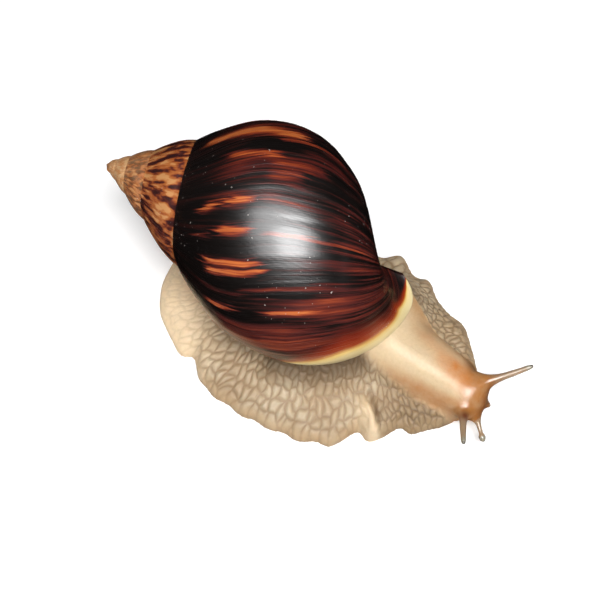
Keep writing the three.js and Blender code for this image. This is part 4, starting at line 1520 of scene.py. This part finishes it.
@dataclass
class Flesh:
    """Foot, flank, neck, head and feelers as one skin."""

    shell: ShellForm
    foot: FootForm = field(default_factory=FootForm)
    flank: FlankForm = field(default_factory=FlankForm)
    neck: NeckForm = field(default_factory=NeckForm)
    pleat: PleatForm = field(default_factory=PleatForm)
    zones: SkinZones = field(default_factory=SkinZones)
    finish: SkinFinish = field(default_factory=SkinFinish)
    stations: int = 260
    columns: int = 200
    crowded_ends: float = 0.5  # how far stations draw together at tail and front
    crowded_margin: float = 0.6  # and columns at the margin
    voxel: float = 0.47
    head_blend: float = 1.3
    smoothing: int = 6  # passes over the whole skin
    looseness: float = 0.5  # how far a pass moves a point towards its neighbours
    feeler_hold: float = 0.9  # share of it that feelers lack
    low_height: float = 0.4
    low_looseness: float = 0.15
    sole_height: float = 0.2  # what lies lower becomes the flat sole
    head_smoothing: int = 60  # passes over the head
    head_looseness: float = 0.6
    head_pulls: int = 5
    height_step: float = 0.2  # steps that slopes are measured with
    gap_step: float = 0.1
    least_slope: float = 0.2
    feeler_start: float = 0.12  # share of a feeler hidden in the head
    longest_pull: float = 0.8
    path_points: int = 60  # places along each feeler, to measure from
    feeler_search: float = 26.0  # no feeler reaches further from its middle
    feeler_wider: float = 1.7
    feeler_margin: float = 0.5
    feeler_fade: float = 0.35
    cell_width: float = 3.3
    cell_length: float = 4.9
    front_width: float = 2.1
    front_length: float = 3.2
    cell_height: float = 0.4
    outline_points: int = 2000  # on each side of the margin, to measure from
    band_edge: tuple[float, float] = (0.8, 1.08)  # near edge of the neck's band, at its start and end
    crest_smoothness: float = 0.45
    tail_smoothness: float = 0.82
    margin_roughness: float = 0.35
    tuck_reach: float = 0.6
    tuck_floor: float = 12.0
    tuck_top: float = 150.0
    tuck_gap: float = 0.9

    def aperture(self) -> Array:
        """The part of the mouth that the flesh fills, seen from above."""
        steps = 20
        shares = mix(self.flank.lip_start, 1.0, np.arange(steps + 1) / steps)
        z, r = self.shell.last_place(self.shell.lip, shares)
        plan = self.shell.point(self.shell.lip, z, r)[:, :2]
        pole_x = plan[-1, 0]
        xs = np.array([pole_x, (pole_x + self.flank.back_x) / 2.0, self.flank.back_x])
        side = self.shell.axis_at(xs)[:, :2] + np.array([0.0, self.flank.columella_side])
        return np.concatenate([plan, side])

    def outside_aperture(self, x: Array, y: Array) -> Array:
        """Distance outside the mouth's plan, negative within it."""
        spots = np.stack([x, y], axis=-1)
        nearest = np.full(x.shape, np.inf)
        within = np.zeros(x.shape, dtype=bool)
        corners = self.aperture()
        for start, end in zip(corners, np.roll(corners, -1, axis=0)):
            side = end - start
            along = clamp01(((spots - start) @ side) / (side @ side))
            nearest = np.minimum(
                nearest, np.linalg.norm(spots - start - along[..., None] * side, axis=-1),
            )
            crosses = (start[1] > y) != (end[1] > y)
            rise = end[1] - start[1]
            rise = rise if abs(rise) > 1e-12 else 1e-12
            within ^= crosses & (x < start[0] + (y - start[1]) / rise * side[0])
        return np.where(within, -nearest, nearest)

    def flank_height(self, x: Array, y: Array) -> Array:
        """Height of the flesh that comes down from the mouth."""
        flank = self.flank
        axis = self.shell.axis_at(x)
        right = axis[..., 1] - y
        plane = axis[..., 2] + np.maximum(right, 0.0) / math.tan(self.shell.lip) - flank.below
        outside = self.outside_aperture(x, y) + flank.inset
        behind = soft_step((flank.ease_x - x) / flank.ease_run)
        slope = mix(flank.slope, flank.rear_slope, behind)
        depth = flank.depth * clamp01((right - 2.0) / 4.0)
        inner = np.minimum(-outside * flank.inner_slope, depth)
        return plane + np.where(outside > 0.0, -slope * outside, inner)

    def neck_height(self, x: Array, y: Array) -> Array:
        """Height of the neck's ridge."""
        neck = self.neck
        along = neck.along(x)
        across = np.abs(neck.across(x, y))
        nose = clamp01((x - neck.nose_x) / (neck.end_x + 2.0 - neck.nose_x))
        behind = soft_step((x - neck.start_x + neck.start_run) / neck.start_run)
        top = mix(neck.start_top, neck.end_top, along) * np.sqrt(1.0 - nose * nose) * behind
        ridge = np.maximum(top - neck.floor, 0.0) * np.sqrt(1.0 - clamp01(across) ** neck.power)
        return neck.floor + ridge

    def height(self, x: Array, y: Array, inward: Array) -> Array:
        """Height of the body above the sole."""
        firm = clamp01(inward / 5.0)
        raised = self.pleat.height * self.pleat.crest(x, y)[0]
        foot = self.foot.skirt(inward) + raised * clamp01(inward / 1.2)
        flank = soft_max(foot, self.flank_height(x, y), self.flank.blend * firm)
        return soft_max(flank, self.neck_height(x, y), self.neck.blend * firm)

    def inward(self, x: Array, y: Array) -> Array:
        """Distance in from the margin, negative outside it."""
        foot = self.foot
        off = y - foot.middle(x)
        held = np.clip(x, foot.tail_x, foot.front_x)
        half = foot.half(held, np.where(off < 0.0, -1.0, 1.0))
        ends = np.minimum(x - foot.tail_x, foot.front_x - x)
        return np.minimum(half - np.abs(off), ends)

    def body(self) -> bpy.types.Object:
        """Foot, flank and neck as one closed mesh on a flat sole."""
        foot = self.foot
        even = np.arange(self.stations + 1) / self.stations
        crowded = mix(even, (1.0 - np.cos(even * math.pi)) / 2.0, self.crowded_ends)
        xs = foot.tail_x + (foot.front_x - foot.tail_x) * crowded
        across = 2.0 * np.arange(self.columns + 1) / self.columns - 1.0
        across = mix(across, np.sin(across * math.pi / 2.0), self.crowded_margin)
        x, share = np.meshgrid(xs[1:-1], across, indexing="ij")
        y = foot.middle(x) + share * foot.half(x, np.where(share < 0.0, -1.0, 1.0))
        height = self.height(x, y, self.inward(x, y))
        height[:, [0, -1]] = 0.0
        ends = [[end, float(foot.middle(np.array(end))), 0.0] for end in (xs[0], xs[-1])]
        points = np.concatenate([np.stack([x, y, height], axis=-1).reshape(-1, 3), ends])
        width = self.columns + 1
        tail, front = len(points) - 2, len(points) - 1
        last = tail - width
        faces: list[tuple[int, ...]] = []
        for a in range(0, last, width):
            b = a + width
            faces += [(a + j, b + j, b + j + 1, a + j + 1) for j in range(self.columns)]
            faces.append((a, a + self.columns, b + self.columns, b))
        for j in range(self.columns):
            faces.append((tail, j, j + 1))
            faces.append((front, last + j + 1, last + j))
        faces.append((tail, self.columns, 0))
        faces.append((front, last, last + self.columns))
        return PieceMaker.mesh("Body", points, faces)

    @staticmethod
    def ball(name: str, centre: tuple[float, ...], size: tuple[float, ...],
             yaw: float) -> bpy.types.Object:
        """A closed ellipsoid, turned about the vertical."""
        rings, sides = 40, 64
        turn = np.arange(sides) * TURN / sides
        pole = np.array([0.0, 0.0, 1.0])

        def placed(sphere: Array) -> Array:
            return (sphere * np.array(size)) @ turning(yaw).T + np.array(centre)

        return PieceMaker.closed(name, [
            placed(np.stack([
                math.sin(polar) * np.cos(turn),
                math.sin(polar) * np.sin(turn),
                np.full(sides, math.cos(polar)),
            ], axis=1)) for polar in np.linspace(0.0, math.pi, rings + 1)[1:-1]
        ], placed(pole), placed(-pole))

    @staticmethod
    def tube(name: str, feeler: Feeler) -> bpy.types.Object:
        """A feeler as a closed round-ended tube."""
        steps, sides, cap = 60, 28, 6
        rings: list[Array] = []
        turn = np.arange(sides) * TURN / sides

        def ring(share: float, radius: float, ahead: float) -> Array:
            tangent = feeler.tangent(share)
            side = np.cross(tangent, [0.0, 0.0, 1.0])
            side /= np.linalg.norm(side)
            up = np.cross(side, tangent)
            middle = feeler.centre(np.array(share)) + tangent * ahead
            return middle + radius * (np.cos(turn)[:, None] * side + np.sin(turn)[:, None] * up)

        for i in range(steps + 1):
            share = i / steps
            rings.append(ring(share, float(feeler.radius(np.array(share))), 0.0))
        tip = float(feeler.radius(np.array(1.0)))
        blunt = 0.8 * tip
        for i in range(1, cap):
            angle = math.pi / 2.0 * i / cap
            rings.append(ring(1.0, tip * math.cos(angle), blunt * math.sin(angle)))
        end = feeler.centre(np.array(1.0)) + feeler.tangent(1.0) * blunt
        return PieceMaker.closed(name, rings, feeler.centre(np.array(0.0)), end)

    def join(self) -> bpy.types.Object:
        """Grow all lengths of the flesh together into one even, softened mesh."""
        parts = [
            self.body(),
            self.ball("HeadForm", *HEAD, HEAD_YAW),
            self.ball("SnoutForm", *SNOUT, HEAD_YAW),
        ]
        parts += [self.tube(f"Feeler_{name}", feeler) for name, feeler in FEELERS.items()]
        work = bmesh.new()
        for part in parts:
            piece = bmesh.new()
            piece.from_mesh(part.data)
            bmesh.ops.recalc_face_normals(piece, faces=piece.faces)
            piece.to_mesh(part.data)
            piece.free()
            work.from_mesh(part.data)
            bpy.data.objects.remove(part)
        mesh = bpy.data.meshes.new("Skin")
        work.to_mesh(mesh)
        work.free()
        skin = bpy.data.objects.new("Skin", mesh)
        bpy.context.scene.collection.objects.link(skin)
        remesh = skin.modifiers.new("Grow together", "REMESH")
        remesh.mode = "VOXEL"
        remesh.voxel_size = self.voxel * MM
        remesh.use_smooth_shade = True
        PieceMaker.bake(skin)
        return skin

    @staticmethod
    def relax(skin: bpy.types.Object, points: Array, weight: Array, passes: int) -> None:
        """Draw points towards the middle of their neighbours, in place."""
        mesh = skin.data
        edges = np.empty(len(mesh.edges) * 2, dtype=np.int64)
        mesh.edges.foreach_get("vertices", edges)
        ends, starts = edges.reshape(-1, 2).T
        count = len(points)
        degree = np.maximum(np.bincount(edges, minlength=count), 1).astype(float)
        for _ in range(passes):
            total = np.stack([
                np.bincount(ends, points[starts, axis], count)
                + np.bincount(starts, points[ends, axis], count) for axis in range(3)
            ], axis=1)
            points += (total / degree[:, None] - points) * weight[:, None]

    def soften(self, skin: bpy.types.Object) -> None:
        """Even out the remeshed skin, and flatten its sole into one face."""
        points = PieceMaker.places(skin)
        firm = self.zones.feeler_firm(self.along_feelers(points))
        weight = self.looseness * (1.0 - firm * self.feeler_hold)
        weight[points[:, 2] < self.low_height] *= self.low_looseness
        self.relax(skin, points, weight, self.smoothing)
        points[:, 2] = np.where(points[:, 2] < self.sole_height, 0.0, points[:, 2])
        PieceMaker.move(skin, points)
        work = bmesh.new()
        work.from_mesh(skin.data)
        sole = [face for face in work.faces if all(corner.co.z == 0.0 for corner in face.verts)]
        bmesh.ops.dissolve_faces(work, faces=sole)
        work.to_mesh(skin.data)
        work.free()

    @staticmethod
    def outside_ball(points: Array, centre: tuple[float, ...], size: tuple[float, ...]) -> Array:
        """About how far points lie outside one of the head's ellipsoids."""
        share = (points - np.array(centre)) @ turning(HEAD_YAW) / np.array(size)
        reach = np.linalg.norm(share, axis=1)
        return reach * (reach - 1.0) / np.linalg.norm(share / np.array(size), axis=1)

    def outside_head(self, points: Array) -> Array:
        """Distance outside the head, feelers and body, grown softly together."""
        x, y, z = points.T
        step = self.height_step

        def top(ahead: float, left: float) -> Array:
            inward = np.maximum(self.inward(x + ahead, y + left), 0.0)
            return self.height(x + ahead, y + left, inward)

        here = top(0.0, 0.0)
        steep = np.hypot((top(step, 0.0) - here) / step, (top(0.0, step) - here) / step)
        gaps = [(z - here) / np.hypot(1.0, steep)]
        gaps += [self.outside_ball(points, *HEAD), self.outside_ball(points, *SNOUT)]
        shares = np.linspace(self.feeler_start, 1.0, self.path_points)
        for feeler in FEELERS.values():
            away = np.linalg.norm(points[:, None, :] - feeler.centre(shares)[None, :, :], axis=2)
            gaps.append((away - feeler.radius(shares)).min(axis=1))
        least = np.minimum.reduce(gaps)
        total = sum(np.exp((least - gap) / self.head_blend) for gap in gaps)
        return least - self.head_blend * np.log(total)

    def settle_head(self, skin: bpy.types.Object) -> None:
        """Draw the skin round the head onto one softly joined form."""
        points = PieceMaker.places(skin)
        away = np.linalg.norm(points - np.array(HEAD[0]), axis=1)
        slim = self.zones.feeler_slim(self.along_feelers(points))
        reach = np.maximum(self.zones.near_head(away), slim) * self.zones.off_floor(points[:, 2])
        moved = np.where(reach > 0.0)[0]
        step = self.gap_step
        for _ in range(self.head_pulls):
            spots = points[moved]
            gap = self.outside_head(spots)
            slope = np.stack([
                (self.outside_head(spots + step * way) - gap) / step for way in np.eye(3)
            ], axis=1)
            pull = gap / np.maximum(np.sum(slope * slope, axis=1), self.least_slope)
            pull = np.clip(pull, -self.longest_pull, self.longest_pull) * reach[moved]
            points[moved] = spots - slope * pull[:, None]
        loose = self.head_looseness * reach * (1.0 - slim) * self.zones.relaxed(points[:, 2])
        self.relax(skin, points, loose, self.head_smoothing)
        PieceMaker.move(skin, points)

    def along_feelers(self, points: Array) -> Array:
        """How far along the nearest feeler each point lies.

        Args:
            points: Points in the construction frame.

        Returns:
            The share of the feeler's length, 0 away from them.
        """
        share = np.zeros(len(points))
        nearest = np.full(len(points), np.inf)
        shares = np.linspace(0.0, 1.0, self.path_points)
        for feeler in FEELERS.values():
            path = feeler.centre(shares)
            away = np.linalg.norm(points - path[self.path_points // 2], axis=1)
            close = np.where(away < self.feeler_search)[0]
            gaps = np.linalg.norm(points[close, None, :] - path[None, :, :], axis=2)
            best = np.argmin(gaps, axis=1)
            gap = gaps[np.arange(len(close)), best]
            reach = feeler.radius(shares[best]) * self.feeler_wider + self.feeler_margin
            better = (gap < reach) & (gap < nearest[close])
            nearest[close[better]] = gap[better]
            faded = soft_step((1.0 - gap / reach) / self.feeler_fade)
            share[close[better]] = (shares[best] * faded)[better]
        return share

    def cell_flow(self, points: Array) -> Array:
        """Places in the net of grooves, one unit to a cell, that run out to the margin."""
        x, y, z = points.T
        line = self.foot.outline(lobed=False, count=self.outline_points)
        front = self.zones.small_cells(line[:, 0]) * np.where(line[:, 1] < 0.0, 1.0, 0.7)
        steps = np.linalg.norm(np.diff(line, axis=0, append=line[:1]), axis=1)
        steps = steps / mix(self.cell_width, self.front_width, front)
        run = np.concatenate([[0.0], np.cumsum(steps)[:-1]])
        nearest, gap = self.nearest(points[:, :2], line)
        rise = np.maximum(z - self.foot.skirt(np.maximum(gap, 0.0)), 0.0)
        length = mix(self.cell_length, self.front_length, self.zones.small_cells(x))
        across, inward = run[nearest], (gap + 0.62 * rise) / length
        bent = 0.16 * np.sin(2.1 * inward + 1.3 * np.sin(0.7 * across)) + 0.06 * np.sin(4.7 * inward)
        lean = 0.12 * np.sin(1.9 * across + 1.1 * np.sin(1.3 * inward)) + 0.06 * np.sin(4.1 * across)
        return np.stack([across + bent, inward + lean, 0.0 * x], axis=1)

    def mark(self, skin: bpy.types.Object) -> None:
        """Store where each point of the skin lies, for the finish and the tubercles."""
        points = PieceMaker.places(skin)
        x, y, z = points.T
        margin = self.foot.outline(lobed=True, count=self.outline_points)
        margin_gap = self.nearest(points[:, :2], margin)[1]
        zones = self.zones
        along, across = self.neck.along(x), self.neck.across(x, y)
        near_edge = mix(*self.band_edge, clamp01((along - 0.3) / 0.5))
        band = zones.near_edge(across + near_edge) * zones.far_edge(across) * zones.neck(x)
        feeler = self.along_feelers(points)
        head = zones.head(x + 0.2 * (y + 8.0)) * zones.head_low(z)
        head = np.maximum(head * zones.head_across(np.abs(across)), zones.feeler(feeler))
        crest, ahead = self.pleat.crest(x, y)
        smooth_crest = self.crest_smoothness * crest
        plain = np.maximum.reduce([band, head, zones.feeler_plain(feeler), smooth_crest])
        tail = zones.tail(x)
        rough = (1.0 - plain) * (1.0 - self.tail_smoothness * tail) * zones.low(z)
        rough = rough * mix(self.margin_roughness, 1.0, zones.smooth_margin(margin_gap))
        # painted shade in the crease ahead of the pleat, fading out at its front end
        crease_shade_end = clamp01((41.5 - x) / 2.0) * bump(y, -25.5, 6.5)
        layers = {
            "flow": self.cell_flow(points),
            "rough": rough,
            "margin": zones.margin(margin_gap) * 0.6 * (1.0 - plain),
            "tail": 0.9 * tail,
            # under: where the painted shadow of the shell is laid, near and under its edge
            "under": zones.painted_shadow_reach(self.outside_aperture(x, y)) * (1.0 - band),
            "dusk": zones.dusk(x) * (1.0 - band) * (1.0 - head)
            * (1.0 - 0.8 * zones.dusk_across(across)),
            "band": band,
            "near_side": band * zones.near_side(across) * zones.near_side_along(along),
            "far_side": band * zones.far_side(across),
            "stain": STAIN.share(points) * band,
            "patch": np.maximum(HEAD_PATCH.share(points), NECK_PATCH.share(points)),
            "head": head,
            "brow": 0.55 * zones.brow(x) * head,
            # spot: the painted shade in the fold at the right feeler's root
            "spot": ROOT_FOLD_SHADE.share(points),
            "feeler": feeler,
            # crest: also where the painted highlight along the pleat's crest is laid
            "crest": crest,
            # painted shade in the crease ahead of the pleat
            "fold": bump(ahead, 2.7, 1.2) * zones.fold(x) * crease_shade_end,
            "wet": np.maximum(band * 0.35, head),
        }
        for name, values in layers.items():
            PieceMaker.spread(skin, name, values)

    @staticmethod
    def nearest(spots: Array, line: Array) -> tuple[Array, Array]:
        """Nearest corner of an outline to each spot, and how far off it is."""
        tree = KDTree(len(line))
        for number, corner in enumerate(line):
            tree.insert((corner[0], corner[1], 0.0), number)
        tree.balance()
        found = [tree.find((spot[0], spot[1], 0.0)) for spot in spots]
        return np.array([hit[1] for hit in found]), np.array([hit[2] for hit in found])

    def raise_tubercles(self, skin: bpy.types.Object) -> None:
        """Raise the skin between its grooves with a geometry tree, and make it plain again."""
        group = bpy.data.node_groups.new("Tubercles", "GeometryNodeTree")
        interface = group.interface
        interface.new_socket("Geometry", in_out="INPUT", socket_type="NodeSocketGeometry")
        height = interface.new_socket("Height", in_out="INPUT", socket_type="NodeSocketFloat")
        interface.new_socket("Geometry", in_out="OUTPUT", socket_type="NodeSocketGeometry")
        tree = Tree(group)
        entry = group.nodes.new("NodeGroupInput")
        geometry = Socket(tree, entry.outputs["Geometry"])
        tall = Socket(tree, entry.outputs["Height"])

        def named(name: str, kind: str) -> Socket:
            return tree.node(
                "GeometryNodeInputNamedAttribute", {"data_type": kind}, {"Name": name}, "Attribute",
            )

        border = tree.borders(named("flow", "FLOAT_VECTOR"))
        lift = (border.over(0.0, 0.34) - 0.62) * named("rough", "FLOAT") * tall
        normal = tree.node("GeometryNodeInputNormal")
        offset = tree.node("ShaderNodeVectorMath", {"operation": "SCALE"}, {0: normal, "Scale": lift})
        moved = tree.node("GeometryNodeSetPosition", {}, {"Geometry": geometry, "Offset": offset})
        real = tree.node("GeometryNodeRealizeInstances", {}, {"Geometry": moved})
        dressed = tree.node("GeometryNodeSetMaterial", {}, {"Geometry": real})
        leave = group.nodes.new("NodeGroupOutput")
        group.links.new(dressed.output, leave.inputs["Geometry"])
        modifier = skin.modifiers.new("Tubercles", "NODES")
        modifier.node_group = group
        modifier[height.identifier] = self.cell_height * MM
        PieceMaker.bake(skin)

    def tuck_under(self, skin: bpy.types.Object, shell: bpy.types.Object) -> None:
        """Keep the skin under the shell's wall and above the floor."""
        points = PieceMaker.places(skin)
        wall = BVHTree.FromPolygons(
            [vertex.co for vertex in shell.data.vertices],
            [tuple(face.vertices) for face in shell.data.polygons],
        )
        inside = self.outside_aperture(points[:, 0], points[:, 1]) < self.tuck_reach
        for index in np.where(inside & (points[:, 2] > self.tuck_floor))[0]:
            above = Vector(to_frame(points[index]))
            above.z = self.tuck_top * MM
            hit = wall.ray_cast(above, Vector((0.0, 0.0, -1.0)))[0]
            if hit is not None and points[index, 2] > hit.z / MM - self.tuck_gap:
                points[index, 2] = hit.z / MM - self.tuck_gap
        points[:, 2] = np.maximum(points[:, 2], 0.0)
        PieceMaker.move(skin, points)

    def build(self, shell: bpy.types.Object) -> bpy.types.Object:
        """Make the whole skin and dress it.

        Args:
            shell: The shell that the flesh tucks under.

        Returns:
            The skin.
        """
        skin = self.join()
        self.soften(skin)
        self.settle_head(skin)
        self.mark(skin)
        self.raise_tubercles(skin)
        self.tuck_under(skin, shell)
        skin.data.shade_smooth()
        stalks = [f"tentacle_upper_{side}_{length}" for side in ("left", "right")
                  for length in ("base", "stalk")]
        PieceMaker.hand_over(
            skin, self.finish.material(), "skin", "mantle_collar", "foot_tail", "foot_middle",
            "foot_front", "neck", "head", "tentacle_lower_left", "tentacle_lower_right", *stalks,
        )
        return skin


@dataclass
class Eye:
    """The small dark eye at the end of an upper feeler."""

    side: str
    radius: float = 0.62
    out: float = 0.55
    colour: Colour = srgb(98, 92, 80)
    haze: Colour = srgb(136, 130, 116)

    def build(self) -> bpy.types.Object:
        """Make the bead and dress it."""
        feeler = FEELERS[self.side]
        centre = feeler.centre(np.array(1.0)) + feeler.tangent(1.0) * self.out
        bead = Flesh.ball(f"Eye_{self.side}", tuple(centre), (self.radius,) * 3, 0.0)
        finish = Finish(f"Eye {self.side}")
        haze = finish.tree.noise(finish.place(), (2500.0,) * 3)
        colour = finish.tree.blend(haze.over(0.4, 0.65) * 0.6, self.colour, self.haze)
        material = finish.set(Base_Color=colour, Roughness=0.12, Coat_Weight=0.6)
        PieceMaker.hand_over(bead, material, "eye", f"eye_{self.side}")
        return bead


# ---------------------------------------------------------------- the studio


@dataclass(frozen=True)
class Lamp:
    """A soft oval light aimed at the animal, with sizes in metres and power in watts."""

    name: str
    azimuth: float
    elevation: float
    distance: float
    size: tuple[float, float]
    power: float
    shine_only: bool = False  # whether it is seen in reflections alone


LAMPS = (
    Lamp("Key", 34.0, 65.0, 1.0, (0.7, 0.5), 11.5),
    Lamp("Top", -60.0, 74.0, 1.6, (0.9, 0.9), 3.5),
    Lamp("Shine", 18.0, 68.5, 1.0, (1.5, 0.9), 23.0, shine_only=True),
)


@dataclass
class Studio:
    """Floor, lights and camera."""

    azimuth: float = 21.5
    elevation: float = 60.9
    distance: float = 430.0
    focal_pixels: float = 1217.0
    image_width: float = 600.0
    sensor: float = 36.0
    target: tuple[float, float, float] = (0.0, 0.4, 20.0)
    floor_half: float = 4.0
    floor_colour: Colour = (0.9, 0.9, 0.9)
    near_glow: float = 0.2  # the floor's own light under the animal, which is 1 far off
    glow_run: tuple[float, float] = (0.4, 1.4)  # metres
    world_light: float = 0.12
    backdrop: float = 0.97  # how bright the world is to the camera

    @staticmethod
    def direction(azimuth: float, elevation: float) -> Vector:
        """Direction from the object to a viewer at an azimuth and elevation."""
        a, e = math.radians(azimuth), math.radians(elevation)
        return Vector((math.sin(a) * math.cos(e), -math.cos(a) * math.cos(e), math.sin(e)))

    def camera(self) -> None:
        """Set up the camera."""
        data = bpy.data.cameras.new("Camera")
        data.sensor_width = self.sensor
        data.lens = self.focal_pixels / self.image_width * self.sensor
        data.clip_start = 0.01
        data.clip_end = 20.0
        camera = bpy.data.objects.new("Camera", data)
        back = self.direction(self.azimuth, self.elevation)
        turn = math.radians(self.azimuth)
        right = Vector((math.cos(turn), math.sin(turn), 0.0))
        up = back.cross(right)
        target = Vector(to_frame(np.array(self.target)))
        place = target + back * self.distance * MM
        camera.matrix_world = Matrix((
            (right.x, up.x, back.x, place.x),
            (right.y, up.y, back.y, place.y),
            (right.z, up.z, back.z, place.z),
            (0.0, 0.0, 0.0, 1.0),
        ))
        bpy.context.scene.collection.objects.link(camera)
        bpy.context.scene.camera = camera

    def floor(self) -> None:
        """Lay the plain pale floor."""
        half = self.floor_half
        mesh = bpy.data.meshes.new("Floor")
        mesh.from_pydata(
            [(-half, -half, 0.0), (half, -half, 0.0), (half, half, 0.0), (-half, half, 0.0)],
            [], [(0, 1, 2, 3)],
        )
        floor = bpy.data.objects.new("Floor", mesh)
        finish = Finish("Floor")
        grain = finish.tree.noise(finish.place(), (40.0,) * 3)
        colour = finish.tree.blend(grain * 0.02, self.floor_colour, (0.8, 0.8, 0.8))
        away = finish.tree.node(
            "ShaderNodeVectorMath", {"operation": "LENGTH"}, {0: finish.place()}, "Value")
        glow = away.over(*self.glow_run) * (1.0 - self.near_glow) + self.near_glow
        mesh.materials.append(finish.set(
            Base_Color=colour, Roughness=0.9, Emission_Color=colour, Emission_Strength=glow))
        bpy.context.scene.collection.objects.link(floor)
        floor.visible_glossy = False

    def light(self, lamp: Lamp) -> None:
        """Hang one light."""
        data = bpy.data.lights.new(lamp.name, "AREA")
        data.shape = "ELLIPSE"
        data.size, data.size_y = lamp.size
        data.energy = lamp.power
        light = bpy.data.objects.new(lamp.name, data)
        way = self.direction(lamp.azimuth, lamp.elevation)
        light.location = way * lamp.distance
        light.rotation_euler = way.to_track_quat("Z", "Y").to_euler()
        light.visible_diffuse = not lamp.shine_only
        bpy.context.scene.collection.objects.link(light)

    def build(self) -> None:
        """Set up everything round the animal."""
        self.camera()
        self.floor()
        for lamp in LAMPS:
            self.light(lamp)
        world = bpy.data.worlds.new("Studio")
        world.use_nodes = True
        tree = Tree(world.node_tree)
        seen = tree.node("ShaderNodeLightPath", {}, {}, "Is Camera Ray")
        background = world.node_tree.nodes["Background"].inputs
        background["Color"].default_value = (1.0, 1.0, 1.0, 1.0)
        strength = seen * (self.backdrop - self.world_light) + self.world_light
        world.node_tree.links.new(strength.output, background["Strength"])
        world.cycles_visibility.glossy = False
        bpy.context.scene.world = world
        bpy.context.scene.view_settings.view_transform = "Standard"


def main() -> None:
    """Build the animal and its studio."""
    logging.basicConfig(level=logging.INFO, format="%(name)s: %(message)s")
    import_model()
    Studio().build()
    shell = Shell()
    Flesh(shell.form).build(shell.build())
    for side in ("left", "right"):
        Eye(side).build()


if __name__ == "__main__":
    main()
